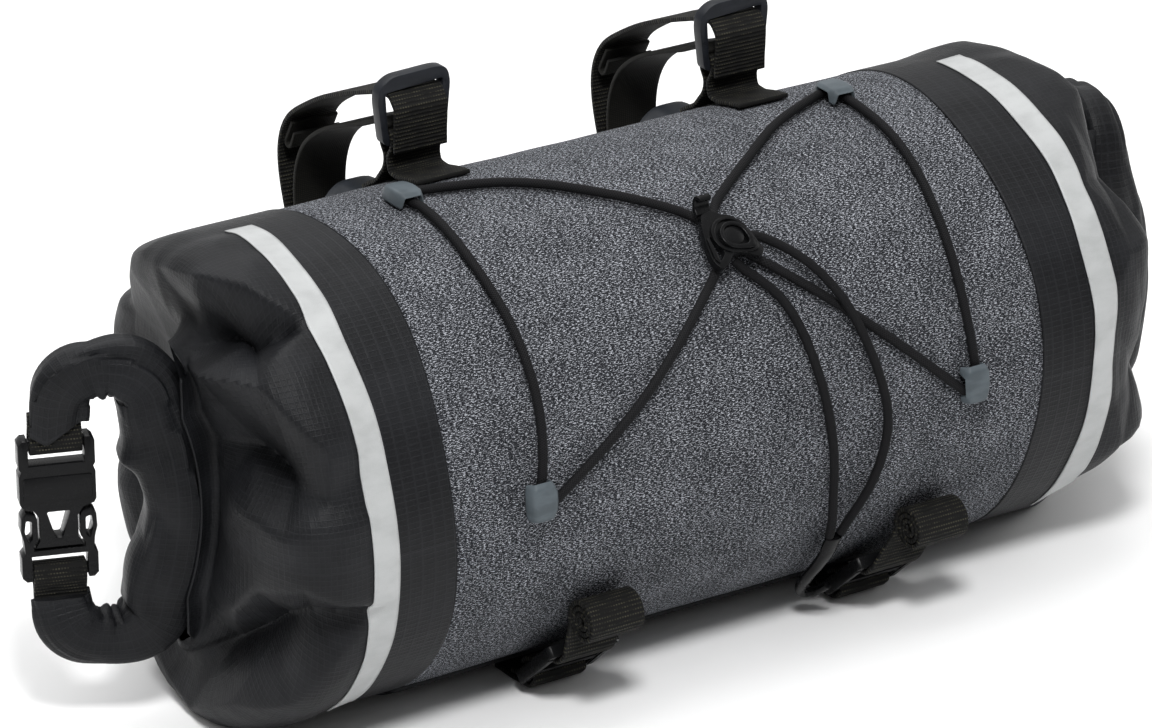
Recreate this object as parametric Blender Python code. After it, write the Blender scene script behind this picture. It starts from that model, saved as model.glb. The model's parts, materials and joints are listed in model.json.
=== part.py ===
"""Cylindrical bicycle handlebar bag with a rolled closure at each end.

X runs along the bag, the front faces -Y and Z points up. The origin is on the
surface that the bag lies on, under the middle of its body. Angles round the
body are in degrees, from 0 at the front, up through 90 at the top.
"""

import math

import bmesh
import bpy
from mathutils import Matrix, Vector

# Body
BODY_RADIUS = 0.090
PANEL_HALF_LENGTH = 0.128
PANEL_WALL = 0.002
PANEL_SIDES = 48
PANEL_FIRST_ANGLE = -60.0
PANEL_LAST_ANGLE = 150.0
PANEL_COLUMNS = 3
SOLE_PROUD = 0.0015
SOLE_WALL = 0.0035
SOLE_RADIUS = BODY_RADIUS + SOLE_PROUD
REST_SAG = 0.004
AXIS_HEIGHT = SOLE_RADIUS - REST_SAG
SEAM_GAP = 0.0003
SEAM_WAVE = 0.0014
FIT_GAP = 0.0003

# End tubes
END_WALL = 0.002
END_REACH = 0.062
RIM_X = PANEL_HALF_LENGTH + END_REACH
NECK_HALF_HEIGHT = 0.058
NECK_HALF_THICKNESS = 0.0055

# Each row is a station from the seam to the neck:
# reach towards the rim, blend from body circle to neck slot, pull to the neck, facing outwards
END_STATIONS = (
    (0.00, 0.000, 0.00, 0.00),
    (0.38, 0.000, 0.00, 0.00),
    (0.62, 0.000, 0.00, 0.05),
    (0.78, 0.020, 0.00, 0.20),
    (0.91, 0.090, 0.00, 0.45),
    (0.98, 0.220, 0.02, 0.70),
    (1.00, 0.400, 0.14, 0.90),
    (1.00, 0.600, 0.42, 1.00),
    (1.00, 0.770, 0.86, 1.00),
    (1.00, 0.900, 1.00, 1.00),
    (1.00, 1.000, 1.00, 1.00),
)

# Each row is a fold valley that runs from the neck towards the seam:
# angle at the neck, angle at its tip, tip as a share of the stations, half width in degrees,
# depth as a share of the body radius
LEFT_FOLDS = (
    (84.0, 57.0, 0.24, 16.0, 0.19),
    (40.0, 17.0, 0.36, 15.0, 0.15),
    (-66.0, -19.0, 0.26, 17.0, 0.16),
    (-120.0, -138.0, 0.30, 18.0, 0.14),
    (126.0, 150.0, 0.28, 17.0, 0.15),
    (180.0, 193.0, 0.38, 15.0, 0.12),
)
RIGHT_FOLDS = (
    (52.0, 44.0, 0.42, 15.0, 0.11),
    (-4.0, -12.0, 0.40, 17.0, 0.12),
    (-58.0, -40.0, 0.34, 17.0, 0.15),
    (-122.0, -140.0, 0.28, 18.0, 0.15),
    (122.0, 148.0, 0.26, 18.0, 0.16),
    (176.0, 186.0, 0.36, 16.0, 0.12),
)

# Rolled closures, one row for each end: side, bar centre past the rim, turn of the loop
# from -X or +X in degrees, bulge against the loop, bulge along X, lean along X
LEFT_CLOSURE = (-1.0, 0.0090, -19.0, 0.006, 0.000, 0.0000)
RIGHT_CLOSURE = (1.0, 0.0297, 78.0, 0.000, 0.012, 0.0045)
LOOP_BEND_RADIUS = 0.018
LOOP_BAR_HALF = 0.035
BAR_HALF_DEPTH = 0.014
BAR_HALF_THICKNESS = 0.0125
ARM_HALF_DEPTH = 0.0115
ARM_HALF_THICKNESS = 0.0080
ROLL_SIDES = 12
ROLL_SQUARENESS = 2.7
ROLL_GAP = 0.0010

# Reflective strips
STRIP_SHARE = 0.48
STRIP_WIDTH = 0.011
STRIP_THICKNESS = 0.0006
STRIP_FIRST_ANGLE = -52.5
STRIP_LAST_ANGLE = 97.5

# Side-release buckles
BUCKLE_WIDTH = 0.0275
BUCKLE_LENGTH = 0.055
BUCKLE_THICKNESS = 0.008
BUCKLE_BAR = 0.0036
BUCKLE_BAR_THICKNESS = 0.0036
BUCKLE_SLOT = 0.0062
BUCKLE_RAIL = 0.0036
TAB_THICKNESS = 0.0014

# Webbing
WEBBING_WIDTH = 0.0225
WEBBING_THICKNESS = 0.0018

# Elastic cord and its guides
CORD_RADIUS = 0.00175
CORD_STEP = 0.010
CORD_SURFACE_GAP = 0.0005
GUIDE_X_SHARE = 0.742
GUIDE_TOP_ANGLE = 90.0
GUIDE_BOTTOM_ANGLE = 4.5
GUIDE_HALF_WIDTH = 0.0060
GUIDE_HALF_LENGTH = 0.0078
GUIDE_WALL = 0.0013
GUIDE_ROOF = 0.0022
GUIDE_POINTS = 12

# Cord lock
LOCK_X_SHARE = 0.03
LOCK_ANGLE = 50.5
LOCK_HALF_WIDTH = 0.0105
LOCK_HALF_LENGTH = 0.0120
LOCK_THICKNESS = 0.0034
LOCK_BUTTON_RADIUS = 0.0058
LOCK_BUTTON_HEIGHT = 0.0018

# Handlebar straps
BAR_STRAP_SHARE = 0.551
RING_WIDTH = 0.031
RING_HEIGHT = 0.027
RING_BAR = 0.0040
RING_DEPTH = 0.005
RING_Y_SHARE = 0.372
RING_LIFT = 0.0085
PAD_ANGLE = 150.5
PAD_LENGTH = 0.034
PAD_THICKNESS = 0.0095

# Each row is a point of a handlebar strap as shares of the body radius: back, up
OUTER_STRAP_ROUTE = (
    (1.100, 0.311),
    (1.189, 0.500),
    (1.244, 0.689),
    (1.239, 0.833),
    (1.167, 0.956),
    (1.022, 1.056),
    (0.844, 1.150),
    (0.644, 1.228),
    (0.489, 1.283),
)
INNER_STRAP_ROUTE = (
    (0.556, 1.122),
    (0.733, 1.056),
    (0.911, 0.972),
    (1.044, 0.867),
    (1.111, 0.733),
    (1.122, 0.578),
    (1.083, 0.456),
)

# Lower straps, one row for each side: name, lock X and roll X as shares of the panel half length
LOWER_STRAPS = (
    ("left", -0.523, -0.505),
    ("right", 0.545, 0.625),
)
LADDER_ANGLE = -47.5
LADDER_CLEARANCE = 0.0065
LADDER_WIDTH = 0.0305
LADDER_LENGTH = 0.030
LADDER_THICKNESS = 0.0045
LADDER_BAR = 0.0040
STRAP_ROLL_ANGLE = -28.0
STRAP_ROLL_TURNS = 2.4
STRAP_ROLL_PITCH = 0.0022
STRAP_ROLL_CORE = 0.0030
STRAP_ROLL_GAP = 0.0015

# Each row is a point of a cord on the body: X as a share of the guide's X, angle
LEFT_LOOP_ROUTE = (
    (0.040, 53.0),
    (-0.020, 60.5),
    (-0.290, 73.0),
    (-0.600, 85.5),
    (-0.900, 94.0),
)
LEFT_LOOP_SIDE = (
    (-0.985, 84.0),
    (-0.975, 62.0),
    (-0.950, 42.0),
    (-0.950, 25.0),
    (-0.985, 10.0),
)
LEFT_LOOP_RETURN = (
    (-0.900, 0.5),
    (-0.480, 22.0),
    (-0.060, 43.0),
    (0.000, 46.5),
)
RIGHT_LOOP_ROUTE = (
    (0.080, 55.0),
    (0.110, 61.0),
    (0.400, 73.0),
    (0.650, 83.0),
    (0.910, 94.0),
)
RIGHT_LOOP_SIDE = (
    (1.015, 84.0),
    (1.030, 65.0),
    (1.010, 43.0),
    (1.000, 25.0),
    (1.010, 10.0),
)
RIGHT_LOOP_RETURN = (
    (0.910, 1.0),
    (0.600, 22.0),
    (0.210, 43.0),
    (0.130, 47.5),
)

# Each row is a point of a cord's free end: X as a share of the guide's X, angle, lift
TAIL_FRONT_ROUTE = (
    (0.120, 51.5, 0.0000),
    (0.190, 51.0, 0.0006),
    (0.260, 47.5, 0.0020),
    (0.350, 41.0, 0.0036),
    (0.440, 31.5, 0.0041),
    (0.520, 18.0, 0.0030),
    (0.575, 4.0, 0.0020),
    (0.565, -6.0, 0.0014),
    (0.520, -15.5, 0.0014),
    (0.462, -22.5, 0.0020),
    (0.432, -27.0, 0.0026),
)
TAIL_REAR_ROUTE = (
    (0.095, 43.5, 0.0000),
    (0.170, 38.0, 0.0004),
    (0.225, 31.0, 0.0010),
    (0.275, 17.0, 0.0016),
    (0.320, 0.0, 0.0016),
    (0.347, -14.0, 0.0016),
    (0.372, -22.0, 0.0020),
    (0.380, -27.0, 0.0026),
)

# Each row is a point of the hook on the cord ends: X as a share of the guide's X, angle, lift,
# thickness as a share of the cord's
HOOK_ROUTE = (
    (0.406, -27.55, 0.0026, 2.10),
    (0.406, -31.0, 0.0028, 2.10),
    (0.408, -33.5, 0.0030, 1.60),
    (0.404, -38.0, 0.0030, 1.15),
    (0.398, -44.0, 0.0034, 1.10),
    (0.410, -49.5, 0.0044, 1.10),
    (0.445, -52.5, 0.0058, 1.10),
    (0.482, -51.0, 0.0070, 1.05),
    (0.498, -46.5, 0.0076, 0.85),
)


def clear_scene():
    for item in list(bpy.data.objects):
        bpy.data.objects.remove(item, do_unlink=True)


def make_material(name, colour, roughness, metallic=0.0):
    material = bpy.data.materials.new(name)
    material.use_nodes = True
    shader = material.node_tree.nodes["Principled BSDF"]
    shader.inputs["Base Color"].default_value = (*colour, 1.0)
    shader.inputs["Roughness"].default_value = roughness
    shader.inputs["Metallic"].default_value = metallic
    return material


def cloth_material(name):
    return make_material(name + "_cloth", (0.030, 0.032, 0.035), 0.55)


def heather_material(name):
    return make_material(name + "_heather", (0.13, 0.14, 0.16), 0.90)


def webbing_material(name):
    return make_material(name + "_webbing", (0.012, 0.012, 0.011), 0.85)


def plastic_material(name):
    return make_material(name + "_plastic", (0.010, 0.010, 0.011), 0.30)


def guide_material(name):
    return make_material(name + "_grey_plastic", (0.16, 0.19, 0.21), 0.40)


def reflective_material(name):
    return make_material(name + "_reflective", (0.55, 0.56, 0.57), 0.45)


def cord_material(name):
    return make_material(name + "_elastic", (0.010, 0.010, 0.010), 0.70)


def rubber_material(name):
    return make_material(name + "_rubber", (0.018, 0.021, 0.027), 0.50)


def add_object(name, mesh, material, sharp_degrees=35.0):
    mesh.name = name
    mesh.materials.append(material)
    mesh.shade_smooth()
    mesh.set_sharp_from_angle(angle=math.radians(sharp_degrees))
    item = bpy.data.objects.new(name, mesh)
    bpy.context.collection.objects.link(item)
    return item


def mesh_from(bm):
    bmesh.ops.recalc_face_normals(bm, faces=bm.faces)
    mesh = bpy.data.meshes.new("piece")
    bm.to_mesh(mesh)
    bm.free()
    return mesh


def around(angle, radius, x=0.0):
    """The point at an angle and distance round the body's axis."""
    turn = math.radians(angle)
    return Vector((x, -radius * math.cos(turn), AXIS_HEIGHT + radius * math.sin(turn)))


def spread(first, last, count):
    return [first + (last - first) * i / (count - 1) for i in range(count)]


def frame_matrix(origin, right, up):
    """The matrix of a frame from its origin, its right and its up."""
    normal = right.cross(up)
    rows = [(right[k], up[k], normal[k], origin[k]) for k in range(3)]
    return Matrix((*rows, (0.0, 0.0, 0.0, 1.0)))


def body_frame(x, angle, radius):
    """A frame on the body: right along X, up round the body, normal outwards."""
    turn = math.radians(angle)
    up = Vector((0.0, math.sin(turn), math.cos(turn)))
    return frame_matrix(around(angle, radius, x), Vector((1.0, 0.0, 0.0)), up)


def side_frame(x):
    """A frame across the body: right to the back, up, normal along X."""
    origin = Vector((x, 0.0, AXIS_HEIGHT))
    return frame_matrix(origin, Vector((0.0, 1.0, 0.0)), Vector((0.0, 0.0, 1.0)))


def grid_shell(outer, inner, closed):
    """A solid between two grids of points of the same size."""
    bm = bmesh.new()
    skins = [[[bm.verts.new(point) for point in row] for row in grid] for grid in (outer, inner)]
    rows = len(outer)
    size = len(outer[0])
    steps = size if closed else size - 1
    for grid in skins:
        for i in range(rows - 1):
            for j in range(steps):
                k = (j + 1) % size
                bm.faces.new((grid[i][j], grid[i][k], grid[i + 1][k], grid[i + 1][j]))
    first, second = skins
    for i in (0, rows - 1):
        for j in range(steps):
            k = (j + 1) % size
            bm.faces.new((first[i][j], first[i][k], second[i][k], second[i][j]))
    if not closed:
        for i in range(rows - 1):
            for j in (0, size - 1):
                bm.faces.new((first[i][j], first[i + 1][j], second[i + 1][j], second[i][j]))
    return mesh_from(bm)


def solid_from_rings(rings):
    """A closed solid through rings of points, with flat ends."""
    bm = bmesh.new()
    verts = [[bm.verts.new(point) for point in ring] for ring in rings]
    size = len(rings[0])
    for first, second in zip(verts, verts[1:]):
        for i in range(size):
            j = (i + 1) % size
            bm.faces.new((first[i], first[j], second[j], second[i]))
    bm.faces.new(verts[0])
    bm.faces.new(verts[-1])
    return mesh_from(bm)


def ribbon(points, thickness, width, matrix, drift=None):
    """A band along a path in a frame's plane, as wide as asked along its normal."""
    path = [Vector((point[0], point[1])) for point in points]
    drift = drift or [0.0] * len(path)
    left = []
    right = []
    for i, point in enumerate(path):
        ahead = (path[min(i + 1, len(path) - 1)] - point)
        behind = (point - path[max(i - 1, 0)])
        ahead = ahead.normalized() if ahead.length > 0.0 else behind.normalized()
        behind = behind.normalized() if behind.length > 0.0 else ahead
        across = Vector((-ahead.y - behind.y, ahead.x + behind.x)).normalized()
        mitre = max(0.5, across.dot(Vector((-ahead.y, ahead.x))))
        reach = thickness / 2.0 / mitre
        left.append(point + across * reach)
        right.append(point - across * reach)
    rings = []
    for i in range(len(path)):
        ring = []
        for point, half in ((left[i], -0.5), (left[i], 0.5), (right[i], 0.5), (right[i], -0.5)):
            ring.append(matrix @ Vector((point.x, point.y, drift[i] + half * width)))
        rings.append(ring)
    return solid_from_rings(rings)


def plate(outline, windows, thickness, matrix):
    """A flat plate of an outline, with windows cut through it."""
    bm = bmesh.new()
    edges = []
    for loop in (outline, *windows):
        verts = [bm.verts.new((point[0], point[1], -thickness / 2.0)) for point in loop]
        for i, vert in enumerate(verts):
            edges.append(bm.edges.new((vert, verts[(i + 1) % len(verts)])))
    filled = bmesh.ops.triangle_fill(bm, edges=edges, use_beauty=True)
    faces = [item for item in filled["geom"] if isinstance(item, bmesh.types.BMFace)]
    grown = bmesh.ops.extrude_face_region(bm, geom=faces, use_keep_orig=True)
    moved = [item for item in grown["geom"] if isinstance(item, bmesh.types.BMVert)]
    bmesh.ops.translate(bm, verts=moved, vec=(0.0, 0.0, thickness))
    bmesh.ops.transform(bm, matrix=matrix, verts=bm.verts)
    return mesh_from(bm)


def box(low, high, matrix):
    """A box between two corners in a frame."""
    bm = bmesh.new()
    bmesh.ops.create_cube(bm, size=1.0)
    for vert in bm.verts:
        share = vert.co + Vector((0.5, 0.5, 0.5))
        vert.co = [low[k] + (high[k] - low[k]) * share[k] for k in range(3)]
    bmesh.ops.transform(bm, matrix=matrix, verts=bm.verts)
    return mesh_from(bm)


def joined(item, name, mesh):
    """Join a second closed mesh to an object."""
    other = bpy.data.objects.new(name, mesh)
    bpy.context.collection.objects.link(other)
    other.hide_render = True
    other.display_type = "WIRE"
    join = item.modifiers.new(name, "BOOLEAN")
    join.operation = "UNION"
    join.solver = "EXACT"
    join.object = other


def smooth_route(points, step):
    """Points no further apart than step on a smooth curve through the given points."""
    route = [Vector(point) for point in points]
    route = [2.0 * route[0] - route[1], *route, 2.0 * route[-1] - route[-2]]
    result = []
    for i in range(1, len(route) - 2):
        before, start, end, after = route[i - 1:i + 3]
        pieces = max(1, math.ceil((end - start).length / step))
        for k in range(pieces):
            t = k / pieces
            result.append(
                0.5 * (2.0 * start + (end - before) * t
                       + (2.0 * before - 5.0 * start + 4.0 * end - after) * t * t
                       + (3.0 * start - before - 3.0 * end + after) * t ** 3)
            )
    result.append(route[-2])
    return result


# Body and ends


def seam_x(angle):
    """Half length of the panels at an angle, with the seam's slight wave."""
    return PANEL_HALF_LENGTH + SEAM_WAVE * math.sin(math.radians(4.0 * angle + 20.0))


def panel_angles(first, last):
    """Angles of the body's sides between two angles, which are always included."""
    step = 360.0 / PANEL_SIDES
    inside = [step * i for i in range(-PANEL_SIDES, 2 * PANEL_SIDES)]
    inside = [angle for angle in inside if first + step / 4.0 < angle < last - step / 4.0]
    return [first, *inside, last]


def panel_grid(angles, radius, floor):
    grid = []
    for i in range(PANEL_COLUMNS + 1):
        row = []
        for angle in angles:
            x = seam_x(angle) * (2.0 * i / PANEL_COLUMNS - 1.0)
            point = around(angle, radius, x)
            point.z = max(point.z, floor)
            row.append(point)
        grid.append(row)
    return grid


def make_front_panel():
    angles = panel_angles(PANEL_FIRST_ANGLE, PANEL_LAST_ANGLE)
    outer = panel_grid(angles, BODY_RADIUS, 0.0)
    inner = panel_grid(angles, BODY_RADIUS - PANEL_WALL, PANEL_WALL)
    name = "front_panel"
    add_object(name, grid_shell(outer, inner, False), heather_material(name))


def make_back_panel():
    gap = math.degrees(SEAM_GAP / (BODY_RADIUS - PANEL_WALL))
    angles = panel_angles(PANEL_LAST_ANGLE + gap, PANEL_FIRST_ANGLE + 360.0 - gap)
    outer = panel_grid(angles, SOLE_RADIUS, 0.0)
    inner = panel_grid(angles, SOLE_RADIUS - SOLE_WALL, SOLE_WALL)
    name = "back_panel"
    add_object(name, grid_shell(outer, inner, False), cloth_material(name))


def rim_of(closure):
    return closure[1] + RIM_X


def bar_centre(closure, height):
    """X and Y of the closure's rolled bar at a height over the axis."""
    side, _, turn, against, bulge, lean = closure
    heading = math.radians(turn)
    share = max(-1.0, min(1.0, height / LOOP_BAR_HALF))
    lift = share * LOOP_BAR_HALF / (LOOP_BAR_HALF + LOOP_BEND_RADIUS)
    along = -against * (1.0 - share * share)
    x = rim_of(closure) + along * math.cos(heading) + bulge * (1.0 - lift * lift) - lean * share
    return side * x, along * math.sin(abs(heading))


def loop_out(closure):
    """The direction in which the closure's loop stands out."""
    heading = math.radians(closure[2])
    return Vector((closure[0] * math.cos(heading), math.sin(abs(heading)), 0.0))


def neck_x(closure, height, y):
    """X of the face that the end tube's neck keeps against the rolled bar."""
    side = closure[0]
    out = loop_out(closure)
    across = Vector((-out.y, out.x, 0.0))
    x, centre_y = bar_centre(closure, height)
    face, reach = max(
        ((normal, half) for normal, half in (
            (out, BAR_HALF_DEPTH), (-out, BAR_HALF_DEPTH),
            (across, BAR_HALF_THICKNESS), (-across, BAR_HALF_THICKNESS))),
        key=lambda pair: -side * pair[0].x,
    )
    x += (reach + ROLL_GAP - face.y * (y - centre_y)) / face.x
    over = min(abs(height) - LOOP_BAR_HALF, LOOP_BEND_RADIUS + BAR_HALF_DEPTH)
    if over > 0.0:
        outer = LOOP_BEND_RADIUS + BAR_HALF_DEPTH
        x += out.x * (outer - math.sqrt(outer * outer - over * over))
    return x


def fold_depth(folds, angle, share):
    """How far the cloth is drawn in at an angle and a share of the way to the neck."""
    depth = 0.0
    for neck_angle, tip_angle, tip, half_width, deep in folds:
        if share <= tip:
            continue
        along = (share - tip) / (1.0 - tip)
        centre = tip_angle + (neck_angle - tip_angle) * along
        apart = (angle - centre + 180.0) % 360.0 - 180.0
        width = half_width * (0.45 + 0.55 * along)
        rise = math.sin(math.pi * min(1.0, along * 0.86 + 0.08)) ** 0.8
        depth += deep * rise * math.exp(-((apart / width) ** 2))
    return depth * BODY_RADIUS


def end_point(closure, folds, share, station, angle, inset):
    """A point of the end tube's outer skin, or of its inner skin where inset is the wall."""
    reach, blend, pull, facing = station
    side = closure[0]
    radius = BODY_RADIUS - inset
    turn = math.radians(angle)
    flat = math.copysign(abs(math.cos(turn)) ** 0.4, math.cos(turn))
    slot_y = -(NECK_HALF_THICKNESS - inset) * flat
    slot_z = (NECK_HALF_HEIGHT - inset) * math.sin(turn)
    y = -radius * math.cos(turn) * (1.0 - blend) + slot_y * blend
    z = radius * math.sin(turn) * (1.0 - blend) + slot_z * blend
    start = seam_x(angle) + SEAM_GAP
    rim = RIM_X - inset
    x = side * (start + (rim - start) * reach)
    x += (neck_x(closure, slot_z, y) - side * rim) * pull
    depth = fold_depth(folds, angle, share) * (1.0 - blend ** 3)
    x -= side * depth * facing * 0.7
    y += depth * math.cos(turn) * (1.0 - 0.75 * facing)
    z -= depth * math.sin(turn) * (1.0 - 0.75 * facing)
    return Vector((x, y, max(z + AXIS_HEIGHT, inset)))


def make_end(name, closure, folds):
    outer = []
    inner = []
    for i, station in enumerate(END_STATIONS):
        share = i / (len(END_STATIONS) - 1)
        for grid, inset in ((outer, 0.0), (inner, END_WALL)):
            row = []
            for k in range(PANEL_SIDES):
                angle = 360.0 * k / PANEL_SIDES
                row.append(end_point(closure, folds, share, station, angle, inset))
            grid.append(row)
    add_object(name, grid_shell(outer, inner, True), cloth_material(name), 60.0)


# Rolled closures


def loop_path(closure):
    """Centre points of the rolled closure, from its upper end to its lower end."""
    out = loop_out(closure)
    bend = LOOP_BEND_RADIUS
    turns = [math.radians(180.0 * i / 6.0) for i in range(7)]
    points = []
    x, y = bar_centre(closure, LOOP_BAR_HALF)
    base = Vector((x, y, AXIS_HEIGHT + LOOP_BAR_HALF))
    for turn in turns:
        lift = Vector((0.0, 0.0, bend * math.sin(turn)))
        points.append(base + out * bend * (1.0 + math.cos(turn)) + lift)
    for share in (0.6, 0.2, -0.2, -0.6):
        x, y = bar_centre(closure, LOOP_BAR_HALF * share)
        points.append(Vector((x, y, AXIS_HEIGHT + LOOP_BAR_HALF * share)))
    x, y = bar_centre(closure, -LOOP_BAR_HALF)
    base = Vector((x, y, AXIS_HEIGHT - LOOP_BAR_HALF))
    for turn in turns:
        lift = Vector((0.0, 0.0, bend * math.sin(turn)))
        points.append(base + out * bend * (1.0 - math.cos(turn)) - lift)
    return points


def make_roll(name, closure):
    """The rolled cloth bar, its two bent arms and their flattened ends."""
    out = loop_out(closure)
    across = Vector((-out.y, out.x, 0.0))
    path = loop_path(closure)
    last = len(path) - 1
    power = 2.0 / ROLL_SQUARENESS
    rings = []
    for i, point in enumerate(path):
        along = (path[min(i + 1, last)] - path[max(i - 1, 0)]).normalized()
        if i in (0, last):
            along = Vector((0.0, 0.0, 1.0))
        normal = along.cross(across).normalized()
        end = min(i, last - i)
        swell = min(1.0, max(0.0, (end - 2) / 4.0))
        depth = ARM_HALF_DEPTH + (BAR_HALF_DEPTH - ARM_HALF_DEPTH) * swell
        thickness = ARM_HALF_THICKNESS + (BAR_HALF_THICKNESS - ARM_HALF_THICKNESS) * swell
        if end == 0:
            thickness *= 0.6
        ring = []
        for k in range(ROLL_SIDES):
            turn = 2.0 * math.pi * (k + 0.5) / ROLL_SIDES
            a = math.copysign(abs(math.cos(turn)) ** power, math.cos(turn))
            b = math.copysign(abs(math.sin(turn)) ** power, math.sin(turn))
            ring.append(point + normal * depth * a + across * thickness * b)
        rings.append(ring)
    add_object(name, solid_from_rings(rings), cloth_material(name), 60.0)


def make_strip(name, side):
    """A thin reflective band on the straight part of an end tube."""
    step = 360.0 / PANEL_SIDES
    low = BODY_RADIUS + FIT_GAP
    high = low + STRIP_THICKNESS
    centre = PANEL_HALF_LENGTH + END_REACH * STRIP_SHARE
    count = round((STRIP_LAST_ANGLE - STRIP_FIRST_ANGLE) / step) + 1
    rings = []
    for angle in spread(STRIP_FIRST_ANGLE, STRIP_LAST_ANGLE, count):
        corners = ((low, -0.5), (low, 0.5), (high, 0.5), (high, -0.5))
        wave = 0.0012 * math.sin(math.radians(3.0 * angle))
        rings.append([
            around(angle, radius, side * (centre + wave + across * STRIP_WIDTH))
            for radius, across in corners
        ])
    add_object(name, solid_from_rings(rings), reflective_material(name), 20.0)


# Buckles


def buckle_frame(closure):
    """A frame in the middle of the buckle: right across its width, up along its length."""
    path = loop_path(closure)
    up = (path[0] - path[-1]).normalized()
    out = loop_out(closure)
    right = (out - up * out.dot(up)).normalized()
    return frame_matrix((path[0] + path[-1]) / 2.0, right, up), (path[0] - path[-1]).length


def slot_window(end):
    """The slot near one end of a buckle half; end is 1 for the upper and -1 for the lower."""
    half = BUCKLE_WIDTH / 2.0 - BUCKLE_RAIL
    far = end * (BUCKLE_LENGTH / 2.0 + 0.001)
    near = end * (BUCKLE_LENGTH / 2.0 - BUCKLE_BAR - BUCKLE_SLOT)
    return half, near, far


def make_socket(name, closure):
    """The upper half: rails, slot, block and a neck with a window."""
    matrix, _ = buckle_frame(closure)
    w = BUCKLE_WIDTH / 2.0
    top = BUCKLE_LENGTH / 2.0
    half, near, _ = slot_window(1.0)
    chamfer = 0.12 * w
    block = 0.16 * top
    neck = 0.50 * w
    right = [
        (neck * 1.22, -0.52 * top),
        (neck, -0.40 * top),
        (neck, -0.06 * top),
        (0.86 * w, 0.04 * top),
        (w, block),
        (w, near - 0.10 * top),
        (0.94 * w, near - 0.06 * top),
        (w, near),
        (w, top - chamfer),
        (w - chamfer, top),
        (half, top),
        (half, near),
    ]
    outline = right + [(-x, z) for x, z in reversed(right)]
    window = [(-0.30 * w, 0.00), (-0.09 * w, -0.38 * top), (0.09 * w, -0.38 * top), (0.30 * w, 0.00)]
    mesh = plate(outline, [window], BUCKLE_THICKNESS, matrix)
    socket = add_object(name, mesh, plastic_material(name), 30.0)
    low = (-half - BUCKLE_RAIL / 2.0, top - BUCKLE_BAR - 0.0006, -BUCKLE_BAR_THICKNESS / 2.0)
    high = (half + BUCKLE_RAIL / 2.0, top - 0.0006, BUCKLE_BAR_THICKNESS / 2.0)
    joined(socket, name + "_bar", box(low, high, matrix))


def make_tongue(name, closure):
    """The lower half: rails, slot and two arms beside the socket's neck."""
    matrix, _ = buckle_frame(closure)
    w = BUCKLE_WIDTH / 2.0
    bottom = -BUCKLE_LENGTH / 2.0
    half, near, _ = slot_window(-1.0)
    chamfer = 0.12 * w
    arm = 0.50 * w * 1.22 + 0.0008
    right = [
        (half, near),
        (half, bottom),
        (w - chamfer, bottom),
        (w, bottom + chamfer),
        (w, near),
        (0.88 * w, near + 0.06 * -bottom),
        (0.93 * w, 0.30 * bottom),
        (0.86 * w, 0.03 * bottom),
        (arm, 0.06 * bottom),
        (arm, near + 0.0022),
    ]
    outline = right + [(-x, z) for x, z in reversed(right)]
    mesh = plate(outline, [], BUCKLE_THICKNESS, matrix)
    tongue = add_object(name, mesh, plastic_material(name), 30.0)
    low = (-half - BUCKLE_RAIL / 2.0, bottom + 0.0006, -BUCKLE_BAR_THICKNESS / 2.0)
    high = (half + BUCKLE_RAIL / 2.0, bottom + BUCKLE_BAR + 0.0006, BUCKLE_BAR_THICKNESS / 2.0)
    joined(tongue, name + "_bar", box(low, high, matrix))


def make_buckle_tab(name, closure, end):
    """Webbing folded round a buckle's bar and led to the arm of the closure."""
    matrix, length = buckle_frame(closure)
    up = Vector((matrix[0][1], matrix[1][1], matrix[2][1]))
    width = BUCKLE_WIDTH - 2.0 * BUCKLE_RAIL - 0.0012
    slant = width / 2.0 * abs(matrix[2][0]) + TAB_THICKNESS * 1.6 * abs(matrix[2][2])
    start = length / 2.0 - FIT_GAP - slant
    top = BUCKLE_LENGTH / 2.0 - 0.0006
    apart = BUCKLE_BAR_THICKNESS / 2.0 + FIT_GAP + TAB_THICKNESS / 2.0
    close = TAB_THICKNESS / 2.0 + FIT_GAP / 2.0
    fold = top - BUCKLE_BAR - FIT_GAP - TAB_THICKNESS / 2.0
    half = [
        (close, start),
        (close, top + (start - top) * 0.55),
        (apart, top),
        (apart, fold + TAB_THICKNESS * 0.3),
        (apart - TAB_THICKNESS * 0.3, fold),
    ]
    points = half + [(-a, b) for a, b in reversed(half)]
    normal = Vector((matrix[0][2], matrix[1][2], matrix[2][2]))
    origin = matrix.translation
    turned = frame_matrix(origin, normal if end > 0.0 else -normal, up * end)
    mesh = ribbon(points, TAB_THICKNESS, width, turned)
    add_object(name, mesh, webbing_material(name), 40.0)


# Cord, guides and lock


def cord_radius():
    return BODY_RADIUS + CORD_RADIUS + CORD_SURFACE_GAP


def cord_flat(share, angle, lift=0.0):
    """A cord's point on the unrolled body: along X, round the body, lift off it."""
    x = share * GUIDE_X_SHARE * PANEL_HALF_LENGTH
    return Vector((x, math.radians(angle) * cord_radius(), lift))


def cord_wrapped(point):
    """The place in space of a point on the unrolled body."""
    return around(math.degrees(point.y / cord_radius()), cord_radius() + point.z, point.x)


def make_cord(name, route, material):
    """A round cord on a smooth curve through the points of its route on the body."""
    points = [cord_wrapped(point) for point in smooth_route(route, CORD_STEP)]
    curve = bpy.data.curves.new(name, "CURVE")
    curve.dimensions = "3D"
    curve.bevel_depth = CORD_RADIUS
    curve.bevel_resolution = 2
    curve.use_fill_caps = True
    spline = curve.splines.new("POLY")
    spline.points.add(len(points) - 1)
    for place, point in zip(spline.points, points):
        place.co = (*point, 1.0)
    spline.use_smooth = True
    curve.materials.append(material)
    item = bpy.data.objects.new(name, curve)
    bpy.context.collection.objects.link(item)


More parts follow.
